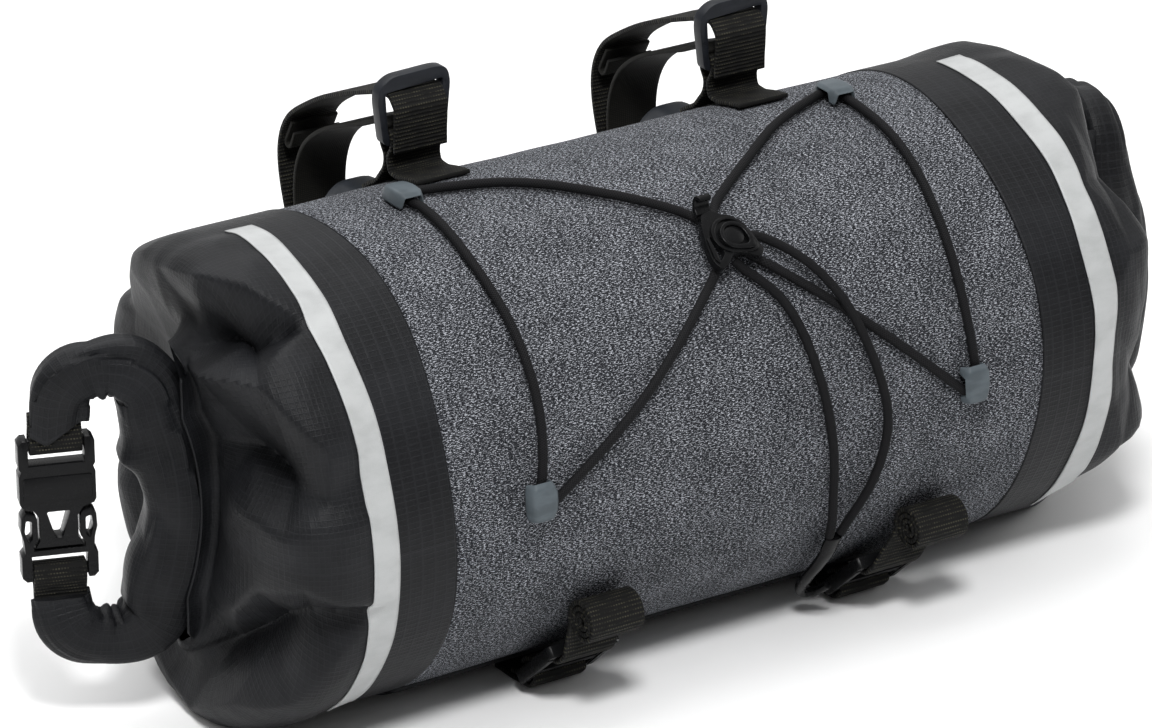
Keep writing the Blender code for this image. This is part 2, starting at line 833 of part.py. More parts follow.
def guide_turn(side, angle, sign):
    """The bend of a cord inside a guide; sign is 1 for the upper guide and -1 for the lower."""
    across = GUIDE_HALF_WIDTH / (GUIDE_X_SHARE * PANEL_HALF_LENGTH)
    reach = math.degrees(GUIDE_HALF_LENGTH / BODY_RADIUS)
    return [
        (side * (1.0 - 0.42 * across), angle + sign * 0.42 * reach),
        (side * (1.0 + 0.14 * across), angle + sign * 0.40 * reach),
        (side * (1.0 + 0.36 * across), angle + sign * 0.05 * reach),
    ]


def make_cord_loop(name, side, first, second, third):
    upper = guide_turn(side, GUIDE_TOP_ANGLE, 1.0)
    lower = guide_turn(side, GUIDE_BOTTOM_ANGLE, -1.0)
    rows = [*first[:-1], *upper, *second, *reversed(lower), *third[1:]]
    route = [cord_flat(share, angle) for share, angle in rows]
    make_cord(name, route, cord_material(name))


def make_guide(name, side, angle, sign):
    """A small hood over the cord's bend, open underneath and where the cord comes in."""
    x = side * GUIDE_X_SHARE * PANEL_HALF_LENGTH
    floor = BODY_RADIUS + FIT_GAP
    ceiling = BODY_RADIUS + CORD_SURFACE_GAP + 2.0 * CORD_RADIUS + FIT_GAP
    top = ceiling + GUIDE_ROOF
    rings = [[] for _ in range(6)]
    for k in range(GUIDE_POINTS):
        turn = 2.0 * math.pi * (k + 0.5) / GUIDE_POINTS
        a = math.copysign(abs(math.cos(turn)) ** 0.62, math.cos(turn))
        b = math.copysign(abs(math.sin(turn)) ** 0.62, math.sin(turn))
        narrow = 1.0 - 0.20 * max(0.0, b)
        open_below = b < -0.2 or (a < -0.4 and b < 0.9)
        low = ceiling if open_below else floor
        shoulder = (ceiling + top) / 2.0
        for ring, inset, height in (
                (rings[0], 0.0, low), (rings[1], 0.0, shoulder), (rings[2], 0.0016, top),
                (rings[3], GUIDE_WALL, low), (rings[4], GUIDE_WALL, ceiling + 0.0002)):
            across = (GUIDE_HALF_WIDTH - inset) * a * narrow
            along = (GUIDE_HALF_LENGTH - inset) * b
            degrees = math.degrees(along / BODY_RADIUS)
            ring.append(around(angle + sign * degrees, height, x + side * across))
    bm = bmesh.new()
    verts = [[bm.verts.new(point) for point in ring] for ring in rings[:5]]
    for first, second in ((0, 1), (1, 2), (0, 3), (3, 4)):
        for i in range(GUIDE_POINTS):
            j = (i + 1) % GUIDE_POINTS
            bm.faces.new((verts[first][i], verts[first][j], verts[second][j], verts[second][i]))
    bm.faces.new(verts[2])
    bm.faces.new(verts[4])
    add_object(name, mesh_from(bm), guide_material(name), 50.0)


def lock_x():
    return LOCK_X_SHARE * PANEL_HALF_LENGTH


def lock_height():
    """Radius of the cord lock's lower face, above the cords that it holds."""
    return BODY_RADIUS + CORD_SURFACE_GAP + 2.0 * CORD_RADIUS + 0.0009


def make_lock(name):
    """The lock's flat body, with a round head and a nose for the cord ends."""
    w = LOCK_HALF_WIDTH
    h = LOCK_HALF_LENGTH
    outline = [
        (-0.45 * w, 0.95 * h),
        (-0.70 * w, 0.55 * h),
        (-0.84 * w, 0.00 * h),
        (-0.92 * w, -0.62 * h),
        (-0.72 * w, -0.98 * h),
        (-0.40 * w, -0.88 * h),
        (-0.02 * w, -0.58 * h),
        (0.48 * w, -0.66 * h),
        (0.92 * w, -0.86 * h),
        (1.20 * w, -0.64 * h),
        (1.02 * w, -0.12 * h),
        (0.86 * w, 0.34 * h),
        (0.56 * w, 0.66 * h),
        (0.10 * w, 0.82 * h),
        (-0.08 * w, 1.00 * h),
    ]
    window = [
        (-0.62 * w, 0.16 * h),
        (-0.74 * w, -0.50 * h),
        (-0.60 * w, -0.66 * h),
        (-0.30 * w, -0.44 * h),
        (-0.44 * w, 0.04 * h),
    ]
    matrix = body_frame(lock_x(), LOCK_ANGLE, lock_height() + LOCK_THICKNESS / 2.0)
    mesh = plate(outline, [window], LOCK_THICKNESS, matrix)
    add_object(name, mesh, plastic_material(name), 30.0)


def make_lock_button(name):
    """The round button on the lock, with a raised rim."""
    base = lock_height() + LOCK_THICKNESS + FIT_GAP
    matrix = body_frame(lock_x() + 0.18 * LOCK_HALF_WIDTH, LOCK_ANGLE, base)
    profile = (
        (1.00, 0.00), (1.00, 0.60), (0.86, 1.00), (0.70, 1.00), (0.58, 0.55), (0.25, 0.45))
    rings = []
    for share, lift in profile:
        ring = []
        for k in range(14):
            turn = 2.0 * math.pi * k / 14
            radius = LOCK_BUTTON_RADIUS * share
            spot = (radius * math.cos(turn), radius * math.sin(turn), LOCK_BUTTON_HEIGHT * lift)
            ring.append(matrix @ Vector(spot))
        rings.append(ring)
    add_object(name, solid_from_rings(rings), plastic_material(name), 40.0)


def make_lock_hook(name):
    """The short hook that stands up beyond the top of the lock."""
    matrix = body_frame(lock_x(), LOCK_ANGLE, lock_height())
    up = Vector((matrix[0][1], matrix[1][1], matrix[2][1]))
    normal = Vector((matrix[0][2], matrix[1][2], matrix[2][2]))
    centre = matrix @ Vector((-0.28 * LOCK_HALF_WIDTH, LOCK_HALF_LENGTH + FIT_GAP, 0.0))
    turned = frame_matrix(centre, up, normal)
    reach = 0.52 * LOCK_HALF_LENGTH
    points = [
        (0.0008, LOCK_THICKNESS * 0.35),
        (0.35 * reach, LOCK_THICKNESS * 0.45),
        (0.62 * reach, LOCK_THICKNESS * 0.85),
        (0.80 * reach, LOCK_THICKNESS * 1.45),
        (0.72 * reach, LOCK_THICKNESS * 1.90),
    ]
    mesh = ribbon(points, 0.0016, 0.62 * LOCK_HALF_WIDTH, turned)
    add_object(name, mesh, plastic_material(name), 30.0)


def make_end_hook(name):
    """The hook that gathers the two cord ends."""
    route = [cord_wrapped(cord_flat(*row[:3])) for row in HOOK_ROUTE]
    last = len(route) - 1
    rings = []
    for i, point in enumerate(route):
        along = (route[min(i + 1, last)] - route[max(i - 1, 0)]).normalized()
        side = along.cross(around(HOOK_ROUTE[i][1], 1.0) - around(0.0, 0.0)).normalized()
        up = side.cross(along)
        wide = CORD_RADIUS * HOOK_ROUTE[i][3]
        thick = CORD_RADIUS * min(1.15, HOOK_ROUTE[i][3])
        ring = []
        for k in range(8):
            turn = 2.0 * math.pi * (k + 0.5) / 8
            ring.append(point + side * wide * math.cos(turn) + up * thick * math.sin(turn))
        rings.append(ring)
    add_object(name, solid_from_rings(rings), plastic_material(name), 50.0)


# Handlebar straps


def ring_sizes():
    """Y of the ring's middle, and heights over the axis of its base and inner edges."""
    y = RING_Y_SHARE * BODY_RADIUS
    base = BODY_RADIUS + RING_LIFT
    return y, base, base + RING_BAR, base + RING_HEIGHT - RING_BAR


def make_ring(name, x):
    y, base, low, high = ring_sizes()
    w = RING_WIDTH / 2.0
    top = base + RING_HEIGHT
    rail = 0.0032
    outline = [
        (-0.86 * w, base), (0.86 * w, base), (0.92 * w, base + 0.002),
        (w, top - 0.006), (0.90 * w, top - 0.002), (0.72 * w, top),
        (-0.72 * w, top), (-0.90 * w, top - 0.002), (-w, top - 0.006), (-0.92 * w, base + 0.002),
    ]
    narrow = w - rail
    window = [(-0.94 * narrow, low), (0.94 * narrow, low), (narrow, high), (-narrow, high)]
    origin = Vector((x, y, AXIS_HEIGHT))
    matrix = frame_matrix(origin, Vector((1.0, 0.0, 0.0)), Vector((0.0, 0.0, 1.0)))
    add_object(name, plate(outline, [window], RING_DEPTH, matrix), plastic_material(name), 30.0)


def make_ring_loop(name, x):
    """Webbing round the ring's lower bar, with two feet on the body."""
    y, base, low, _ = ring_sizes()
    half = WEBBING_THICKNESS / 2.0
    wide = RING_DEPTH / 2.0 + FIT_GAP + half
    close = half + FIT_GAP / 2.0
    ride = BODY_RADIUS + FIT_GAP + half + 0.0002
    middle = math.degrees(math.asin(y / BODY_RADIUS)) + 90.0
    foot = []
    for angle in (15.0, 10.0, 5.5):
        turn = math.radians(middle - angle)
        foot.append((-ride * math.cos(turn), ride * math.sin(turn)))
    back = []
    for angle in (5.0, 9.0, 12.0):
        turn = math.radians(middle + angle)
        back.append((-ride * math.cos(turn), ride * math.sin(turn)))
    rise = math.sqrt(ride * ride - y * y)
    front = [
        (y - close - 0.0012, rise + 0.0030),
        (y - close, rise + 0.0060),
        (y - close, base - 0.0042),
        (y - wide, base - 0.0004),
        (y - wide, low + FIT_GAP + half * 0.2),
        (y - wide + half * 0.8, low + FIT_GAP + half),
    ]
    rear = [(2.0 * y - a, b) for a, b in reversed(front)]
    points = [*foot, *front, *rear, *back]
    mesh = ribbon(points, WEBBING_THICKNESS, WEBBING_WIDTH, side_frame(x))
    add_object(name, mesh, webbing_material(name), 40.0)


def make_outer_strap(name, x):
    """The strap from the body's back, over the handlebar and through the ring."""
    y, base, low, high = ring_sizes()
    half = WEBBING_THICKNESS / 2.0
    start = SOLE_RADIUS + FIT_GAP + half
    turn = math.radians(172.0)
    root = (-start * math.cos(turn), start * math.sin(turn))
    turn = math.radians(178.0)
    under = (-start * math.cos(turn), start * math.sin(turn))
    layer = y - RING_DEPTH / 2.0 - FIT_GAP - half
    tail = layer - WEBBING_THICKNESS - 2.0 * FIT_GAP
    route = [(a * BODY_RADIUS, b * BODY_RADIUS) for a, b in OUTER_STRAP_ROUTE]
    through = high - 0.0034
    points = [
        under, root, *route,
        (y + 0.0015, through),
        (y - RING_DEPTH / 2.0 - 0.0004, through - 0.0002),
        (tail - 0.0006, through - 0.0042),
        (tail - 0.0004, through - 0.0110),
        (tail, low - 0.0005),
        (tail, base - 0.0020),
    ]
    mesh = ribbon(points, WEBBING_THICKNESS, WEBBING_WIDTH, side_frame(x))
    add_object(name, mesh, webbing_material(name), 40.0)


def make_inner_strap(name, x):
    y, _, low, _ = ring_sizes()
    over = low + 2.0 * FIT_GAP + 1.5 * WEBBING_THICKNESS
    clear = y + RING_DEPTH / 2.0 + 2.0 * WEBBING_THICKNESS
    points = [(y - 0.001, over), (clear, over), *[(a * BODY_RADIUS, b * BODY_RADIUS) for a, b in INNER_STRAP_ROUTE]]
    mesh = ribbon(points, WEBBING_THICKNESS, WEBBING_WIDTH, side_frame(x))
    add_object(name, mesh, webbing_material(name), 40.0)


def make_stitched_tab(name, x):
    """A short fold of webbing on the inner side of the outer strap."""
    first = Vector(OUTER_STRAP_ROUTE[4]) * BODY_RADIUS
    second = Vector(OUTER_STRAP_ROUTE[3]) * BODY_RADIUS
    along = (second - first).normalized()
    inward = Vector((along.y, -along.x))
    if inward.x > 0.0:
        inward = -inward
    near = WEBBING_THICKNESS + FIT_GAP + 0.0002
    far = near + WEBBING_THICKNESS + FIT_GAP + 0.0006
    length = (second - first).length
    points = []
    for share, offset in (
            (0.10, near), (0.86, near), (0.98, near + 0.0006), (0.98, far),
            (0.80, far + 0.0012), (0.30, far + 0.0006)):
        points.append(first + along * length * share + inward * offset)
    mesh = ribbon(points, TAB_THICKNESS, WEBBING_WIDTH * 0.9, side_frame(x))
    add_object(name, mesh, webbing_material(name), 40.0)


def make_pad(name, x):
    """The spacer between the body and a handlebar, with a flat outer face."""
    low = SOLE_RADIUS + FIT_GAP + 0.0002
    top = low + PAD_THICKNESS
    half = PAD_LENGTH / 2.0
    spread_angle = math.degrees(half / low)
    points = []
    for share in (-1.0, -0.5, 0.0, 0.5, 1.0):
        turn = math.radians(90.0 + spread_angle * share)
        points.append((low * math.cos(turn), low * math.sin(turn)))
    points.reverse()
    points.extend([(half, top - 0.002), (half - 0.002, top), (0.002 - half, top), (-half, top - 0.002)])
    points.reverse()
    turn = math.radians(PAD_ANGLE)
    up = Vector((0.0, -math.cos(turn), math.sin(turn)))
    right = up.cross(Vector((1.0, 0.0, 0.0)))
    matrix = frame_matrix(Vector((x, 0.0, AXIS_HEIGHT)), right, up)
    rings = []
    width = WEBBING_WIDTH + 0.003
    for across in (-0.5, 0.5):
        rings.append([matrix @ Vector((a, b, across * width)) for a, b in points])
    add_object(name, solid_from_rings(rings), rubber_material(name), 30.0)


def make_bar_strap(name, x):
    make_ring(name + "_hook_ring", x)
    make_ring_loop(name + "_ring_loop", x)
    make_outer_strap(name + "_outer_strap", x)
    make_inner_strap(name + "_inner_strap", x)
    make_stitched_tab(name + "_stitched_tab", x)
    make_pad(name + "_spacer_pad", x)


# Lower straps


def ladder_radius():
    return SOLE_RADIUS + LADDER_CLEARANCE


def ladder_bars():
    """Edges of the three bars along the lock's length, from its lower end."""
    half = LADDER_LENGTH / 2.0
    middle = -half + LADDER_BAR + 0.0065
    return -half, -half + LADDER_BAR, middle, middle + 0.85 * LADDER_BAR, half - LADDER_BAR, half


def make_ladder(name, x):
    bottom, first, second, third, fourth, top = ladder_bars()
    w = LADDER_WIDTH / 2.0
    inside = WEBBING_WIDTH / 2.0 + 0.0008
    cut = 0.0018
    outline = [
        (-w + cut, bottom), (w - cut, bottom), (w, bottom + cut), (w, top - cut),
        (w - cut, top), (cut - w, top), (-w, top - cut), (-w, bottom + cut)]
    windows = [
        [(-inside, first), (inside, first), (inside, second), (-inside, second)],
        [(-inside, third), (inside, third), (inside, fourth), (-inside, fourth)]]
    matrix = body_frame(x, LADDER_ANGLE, ladder_radius())
    mesh = plate(outline, windows, LADDER_THICKNESS, matrix)
    add_object(name, mesh, plastic_material(name), 30.0)


def ladder_place(out, along):
    """A point of the lower strap's plane from its distances out of and along the lock."""
    turn = math.radians(LADDER_ANGLE)
    normal = Vector((-math.cos(turn), math.sin(turn)))
    up = Vector((math.sin(turn), math.cos(turn)))
    return normal * (ladder_radius() + out) + up * along


def lower_route():
    """Points that the lower tab and strap share: clear distances and the lock's edges."""
    layer = LADDER_THICKNESS / 2.0 + FIT_GAP + WEBBING_THICKNESS / 2.0
    return layer, WEBBING_THICKNESS + FIT_GAP


def make_lower_tab(name, x):
    """Webbing from under the body, folded round the lock's lower bar."""
    bottom, first, _, _, _, _ = ladder_bars()
    layer, step = lower_route()
    rise = FIT_GAP + WEBBING_THICKNESS
    floor = rise - WEBBING_THICKNESS / 2.0 - AXIS_HEIGHT
    root = math.sqrt(SOLE_RADIUS ** 2 - (AXIS_HEIGHT - rise - FIT_GAP) ** 2)
    fold = first + FIT_GAP + WEBBING_THICKNESS / 2.0
    corner = WEBBING_THICKNESS * 0.4
    over = ladder_place(layer, bottom - 0.0006)
    inner = ladder_place(-layer, bottom)
    knee = over.x + 0.0035
    low = min(floor + 0.0008, over.y)
    points = [
        (-root, floor),
        (-0.500 * BODY_RADIUS, floor),
        (knee, low),
        tuple(over),
        tuple(ladder_place(layer, fold - corner)),
        tuple(ladder_place(layer - corner, fold)),
        tuple(ladder_place(corner - layer, fold)),
        tuple(ladder_place(-layer, fold - corner)),
        tuple(inner),
        (inner.x + 0.0035, max(floor + step + 0.0006, inner.y - 0.0032)),
        (-0.495 * BODY_RADIUS, floor + step + 0.0003),
    ]
    mesh = ribbon(points, WEBBING_THICKNESS, WEBBING_WIDTH, side_frame(x))
    add_object(name, mesh, webbing_material(name), 40.0)


def make_lower_strap(name, x, roll_x):
    """Webbing through the lock, over its top bar and up to its rolled end."""
    bottom, first, second, third, fourth, top = ladder_bars()
    layer, step = lower_route()
    out_radius = STRAP_ROLL_CORE + STRAP_ROLL_PITCH * STRAP_ROLL_TURNS
    ride = BODY_RADIUS + out_radius + WEBBING_THICKNESS / 2.0 + STRAP_ROLL_GAP
    turn = math.radians(STRAP_ROLL_ANGLE)
    centre = Vector((-ride * math.cos(turn), ride * math.sin(turn)))
    points = [
        ladder_place(-layer - step - 0.0003, bottom + 0.0010),
        ladder_place(-layer - step - 0.0003, first + 0.0014),
        ladder_place(-layer, first + 0.0048),
        ladder_place(-layer, third + 0.0010),
        ladder_place(-layer * 0.5, third + 0.0035),
        ladder_place(layer * 0.5, fourth - 0.0030),
        ladder_place(layer, fourth - 0.0002),
        ladder_place(layer, top + 0.0012),
    ]
    drift = [0.0] * len(points)
    count = round(STRAP_ROLL_TURNS * 10)
    for i in range(count + 1):
        share = i / count
        turn = math.radians(-20.0 + 360.0 * STRAP_ROLL_TURNS * share)
        radius = out_radius - STRAP_ROLL_PITCH * STRAP_ROLL_TURNS * share
        points.append(centre + Vector((math.cos(turn), math.sin(turn))) * radius)
        drift.append(roll_x - x)
    mesh = ribbon(points, WEBBING_THICKNESS, WEBBING_WIDTH, side_frame(x), drift)
    add_object(name, mesh, webbing_material(name), 40.0)


def build():
    clear_scene()
    make_front_panel()
    make_back_panel()
    for name, closure, folds in (
            ("left", LEFT_CLOSURE, LEFT_FOLDS), ("right", RIGHT_CLOSURE, RIGHT_FOLDS)):
        make_end(name + "_end", closure, folds)
        make_roll(name + "_roll", closure)
        make_strip(name + "_reflective_strip", closure[0])
        make_socket(name + "_buckle_socket", closure)
        make_tongue(name + "_buckle_tongue", closure)
        make_buckle_tab(name + "_upper_tab", closure, 1.0)
        make_buckle_tab(name + "_lower_tab", closure, -1.0)
    for name, side in (("left", -1.0), ("right", 1.0)):
        make_guide(name + "_upper_cord_guide", side, GUIDE_TOP_ANGLE, 1.0)
        make_guide(name + "_lower_cord_guide", side, GUIDE_BOTTOM_ANGLE, -1.0)
        make_bar_strap(name + "_handlebar", side * BAR_STRAP_SHARE * PANEL_HALF_LENGTH)
    make_cord_loop("cord_loop_left", -1.0, LEFT_LOOP_ROUTE, LEFT_LOOP_SIDE, LEFT_LOOP_RETURN)
    make_cord_loop("cord_loop_right", 1.0, RIGHT_LOOP_ROUTE, RIGHT_LOOP_SIDE, RIGHT_LOOP_RETURN)
    for name, rows in (("cord_tail_front", TAIL_FRONT_ROUTE), ("cord_tail_rear", TAIL_REAR_ROUTE)):
        make_cord(name, [cord_flat(*row) for row in rows], cord_material(name))
    make_end_hook("cord_end_hook")
    make_lock("cord_lock")
    make_lock_hook("cord_lock_hook")
    make_lock_button("cord_lock_button")
    for name, lock_share, roll_share in LOWER_STRAPS:
        x = lock_share * PANEL_HALF_LENGTH
        make_ladder(name + "_ladder_lock", x)
        make_lower_tab(name + "_ladder_tab", x)
        make_lower_strap(name + "_lower_strap", x, roll_share * PANEL_HALF_LENGTH)


build()
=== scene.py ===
"""Cloth, webbing, cord, moulded parts and stage for a rolled handlebar bag.

X runs along the bag, its front faces -Y and Z is up, in metres. Angles round the
body are in degrees, from 0 at the front, up through 90 at the top.
"""

import json
import math

import bmesh
import bpy
from mathutils import Matrix, Vector, noise
from mathutils.bvhtree import BVHTree
from mathutils.geometry import delaunay_2d_cdt


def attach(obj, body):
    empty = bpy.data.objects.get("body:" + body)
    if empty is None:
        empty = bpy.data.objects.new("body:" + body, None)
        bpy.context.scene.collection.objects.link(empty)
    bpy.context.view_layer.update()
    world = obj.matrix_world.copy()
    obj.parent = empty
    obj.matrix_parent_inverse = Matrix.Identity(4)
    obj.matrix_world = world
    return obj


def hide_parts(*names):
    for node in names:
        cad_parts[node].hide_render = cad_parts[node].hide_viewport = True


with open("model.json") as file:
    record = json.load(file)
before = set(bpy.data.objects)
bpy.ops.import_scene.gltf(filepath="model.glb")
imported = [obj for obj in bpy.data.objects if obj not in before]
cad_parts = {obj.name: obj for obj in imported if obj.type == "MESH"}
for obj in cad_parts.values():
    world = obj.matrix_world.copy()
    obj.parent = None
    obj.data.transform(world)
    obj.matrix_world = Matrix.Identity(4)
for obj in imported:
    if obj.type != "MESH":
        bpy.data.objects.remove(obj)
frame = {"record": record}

bl_info = {
    "name": "Rolled handlebar bag",
    "version": (1, 0, 0),
    "blender": (4, 5, 0),
    "location": "3D View > Sidebar > Bag",
    "description": "Cloth, webbing, elastic cord and moulded parts of a rolled handlebar bag",
    "category": "Object",
}

# Body and ends, with the sizes of the part's solids
BODY_RADIUS = 0.090
PANEL_HALF_LENGTH = 0.128
PANEL_FIRST_ANGLE = -60.0
PANEL_LAST_ANGLE = 150.0
SOLE_RADIUS = BODY_RADIUS + 0.0015
AXIS_HEIGHT = SOLE_RADIUS - 0.004
SEAM_GAP = 0.0003
SEAM_WAVE = 0.0014
FIT_GAP = 0.0003
END_REACH = 0.062
RIM_X = PANEL_HALF_LENGTH + END_REACH
NECK_HALF_HEIGHT = 0.058
NECK_SKIN_FRONT = 0.0120
NECK_SKIN_BACK = 0.0050
LAP_LIFT = 0.0016
LAP_REACH = 0.0060
NECK_POWER = 0.4

# Shares of the way to the neck where the lap starts and where folds and wrinkles are full, and
# the range of the turn's cosine over which the cloth laps
LAP_START = 0.90
FOLDS_FULL = 0.22
WRINKLES_FULL = 0.4
LAP_FRONT = (0.26, 0.56)

# Walls, cloth and cells
PANEL_WALL = 0.0020
SOLE_WALL = 0.0030
END_CLOTH_LENGTH = 0.110
FOLD_LIMIT = 0.128
FOLD_MARGIN = 0.300
FOLD_SHIFT_ALONG = 0.85
FOLD_LOSS_ACROSS = 0.70
FRONT_CELLS = (110, 150)
BACK_CELLS = (90, 100)
END_CELLS = (260, 120)

# Each row is a station from the seam to the neck: reach towards the rim, blend from the body's
# circle to the neck's slot, pull to the neck, facing outwards
END_STATIONS = (
    (0.00, 0.000, 0.00, 0.00),
    (0.38, 0.000, 0.00, 0.00),
    (0.62, 0.000, 0.00, 0.05),
    (0.78, 0.020, 0.00, 0.20),
    (0.91, 0.090, 0.00, 0.45),
    (0.98, 0.220, 0.02, 0.70),
    (1.00, 0.400, 0.14, 0.90),
    (1.00, 0.600, 0.42, 1.00),
    (1.00, 0.770, 0.86, 1.00),
    (1.00, 0.900, 1.00, 1.00),
    (1.00, 1.000, 1.00, 1.00),
)

# Each row is a crease of the opened-out end: points as angle, distance from the middle, which
# runs on along the tube past the rim, and depth, negative for a ridge
LEFT_CREASES = (
    ((108, 0.050, 0.008), (80, 0.063, 0.022), (62, 0.092, 0.0235), (57, 0.118, 0.001)),
    ((98, 0.084, -0.001), (80, 0.090, -0.006), (70, 0.101, -0.007), (61, 0.124, 0.000)),
    ((86, 0.052, -0.001), (63, 0.062, -0.008), (46, 0.086, -0.009), (27, 0.104, -0.005)),
    ((72, 0.026, 0.010), (38, 0.050, 0.024), (23, 0.080, 0.025), (16, 0.102, 0.001)),
    ((22, 0.032, 0.002), (14, 0.058, -0.006), (9, 0.078, -0.008), (10, 0.104, -0.003)),
    ((3, 0.033, -0.004), (-30, 0.030, -0.004), (-62, 0.034, -0.003), (-86, 0.055, -0.003)),
    ((-94, 0.069, 0.006), (-64, 0.061, 0.021), (-30, 0.071, 0.024), (-17, 0.094, 0.018),
     (-18, 0.116, 0.001)),
    ((-34, 0.052, -0.003), (-12, 0.062, -0.005), (-4, 0.086, -0.005)),
    ((-84, 0.082, -0.005), (-58, 0.076, -0.006), (-40, 0.092, -0.006)),
    ((124, 0.056, 0.010), (138, 0.086, 0.020), (150, 0.112, 0.001)),
    ((112, 0.074, 0.003), (120, 0.096, 0.000)),
    ((148, 0.046, 0.012), (156, 0.074, 0.020), (160, 0.096, 0.014), (162, 0.118, 0.002)),
    ((176, 0.030, 0.020), (184, 0.066, 0.036), (188, 0.088, 0.032), (192, 0.120, 0.003)),
    ((-126, 0.056, 0.012), (-137, 0.086, 0.020), (-146, 0.112, 0.001)),
    ((-112, 0.078, 0.000), (-118, 0.096, -0.002)),
    ((-150, 0.044, 0.014), (-156, 0.074, 0.022), (-160, 0.096, 0.014), (-164, 0.118, 0.002)),
)
RIGHT_CREASES = (
    ((66, 0.046, 0.004), (53, 0.070, 0.012), (46, 0.096, 0.010), (44, 0.114, 0.001)),
    ((88, 0.066, -0.002), (72, 0.088, -0.005), (64, 0.108, -0.003)),
    ((36, 0.054, -0.004), (28, 0.082, -0.005), (25, 0.106, -0.003)),
    ((8, 0.036, 0.004), (-3, 0.066, 0.012), (-8, 0.094, 0.010), (-13, 0.114, 0.001)),
    ((-24, 0.050, -0.004), (-25, 0.080, -0.005), (-27, 0.106, -0.003)),
    ((-66, 0.054, 0.005), (-51, 0.078, 0.014), (-42, 0.100, 0.011), (-40, 0.114, 0.001)),
    ((-90, 0.070, -0.003), (-80, 0.092, -0.004)),
    ((-126, 0.056, 0.006), (-138, 0.086, 0.014), (-146, 0.112, 0.001)),
    ((124, 0.056, 0.006), (138, 0.086, 0.015), (148, 0.112, 0.001)),
    ((106, 0.072, -0.003), (113, 0.096, -0.004)),
    ((174, 0.032, 0.004), (182, 0.078, 0.012), (188, 0.112, 0.001)),
    ((154, 0.050, -0.003), (160, 0.086, -0.004)),
    ((-154, 0.046, -0.003), (-160, 0.086, -0.004)),
)

# Rolled closures, one row for each end: side, bar centre past the rim, turn of the loop
# from -X or +X in degrees, bulge against the loop, bulge along X, lean along X
LEFT_CLOSURE = (-1.0, 0.0090, -19.0, 0.006, 0.000, 0.0000)
RIGHT_CLOSURE = (1.0, 0.0297, 78.0, 0.000, 0.012, 0.0045)
LOOP_BEND_RADIUS = 0.018
CORNER_POWER = 0.90
LOOP_BAR_HALF = 0.035
BAR_HALF_DEPTH = 0.014
BAR_HALF_THICKNESS = 0.0125
ARM_HALF_DEPTH = 0.0115
ARM_HALF_THICKNESS = 0.0080
ROLL_SQUARENESS = 3.2
ROLL_GAP = 0.0010
ROLL_GIRTH = 0.086
ROLL_CREASE = 0.0009
ROLL_CRIMP = 0.0020
ROLL_BULGE = 0.0030
ROLL_DENT = 0.0035
FLAP_THICKNESS = 0.0013
FLAP_TURN = 0.62
TIP_DROP = 0.0085
ROLL_CELLS = (64, 150)
ROLL_STEP = 0.0011
CRIMP_PLACES = (0.115, 0.158, 0.186, 0.240)

# Reflective strips
STRIP_SHARE = 0.48
STRIP_WIDTH = 0.011
STRIP_FIRST_ANGLE = -52.5
STRIP_LAST_ANGLE = 97.5
STRIP_LIFT = 0.0006
STRIP_THICKNESS = 0.0005
STRIP_CELLS = (10, 120)

# Side-release buckles
BUCKLE_WIDTH = 0.0275
BUCKLE_LENGTH = 0.055
BUCKLE_THICKNESS = 0.008
BUCKLE_BAR = 0.0036
BUCKLE_BAR_THICKNESS = 0.0036
BUCKLE_SLOT = 0.0062
BUCKLE_RAIL = 0.0036
TAB_THICKNESS = 0.0014

# Webbing
WEBBING_WIDTH = 0.0225
WEBBING_THICKNESS = 0.0018
WEBBING_COLUMNS = 8
WEBBING_STEP = 0.0009

# Elastic cord, its guides and its lock
CORD_RADIUS = 0.00175
CORD_SURFACE_GAP = 0.0005
CORD_LOOP_STEP = 0.004
CORD_TAIL_STEP = 0.0075
HOOK_STEP = 0.0016
GUIDE_X_SHARE = 0.742
GUIDE_TOP_ANGLE = 90.0
GUIDE_BOTTOM_ANGLE = 4.5
GUIDE_HALF_WIDTH = 0.0060
GUIDE_HALF_LENGTH = 0.0078
GUIDE_ROOF = 0.0022
GUIDE_MOUTH_RIM = 0.0009
GUIDE_CROWN = 0.70
GUIDE_TAPER = 0.10
GUIDE_SLOPE = 0.0007
GUIDE_HOLLOW = 0.80
LOCK_X_SHARE = 0.03
LOCK_ANGLE = 50.5
LOCK_HALF_WIDTH = 0.0105
LOCK_HALF_LENGTH = 0.0120
LOCK_THICKNESS = 0.0034
LOCK_BUTTON_RADIUS = 0.0058
LOCK_BUTTON_HEIGHT = 0.0018
LOCK_TAB_THICKNESS = 0.0017
LOCK_LIFT = 0.0009

# Handlebar straps
BAR_STRAP_SHARE = 0.551
RING_WIDTH = 0.031
RING_HEIGHT = 0.027
RING_BAR = 0.0040
RING_RAIL = 0.0032
RING_DEPTH = 0.005
RING_Y_SHARE = 0.372
RING_LIFT = 0.0085
SPACER_ANGLE = 149.0
SPACER_LENGTH = 0.048
SPACER_HEIGHT = 0.0100
SPACER_BASE = 0.0014
STRAP_STEP = 0.005

# Each row is a point of a handlebar strap as shares of the body radius: back, up
OUTER_STRAP_ROUTE = (
    (1.100, 0.311),
    (1.189, 0.500),
    (1.244, 0.689),
    (1.239, 0.833),
    (1.167, 0.956),
    (1.022, 1.056),
    (0.844, 1.150),
    (0.644, 1.228),
    (0.489, 1.283),
)
INNER_STRAP_ROUTE = (
    (0.556, 1.122),
    (0.733, 1.056),
    (0.911, 0.972),
    (1.044, 0.867),
    (1.111, 0.733),
    (1.122, 0.578),
    (1.083, 0.456),
)

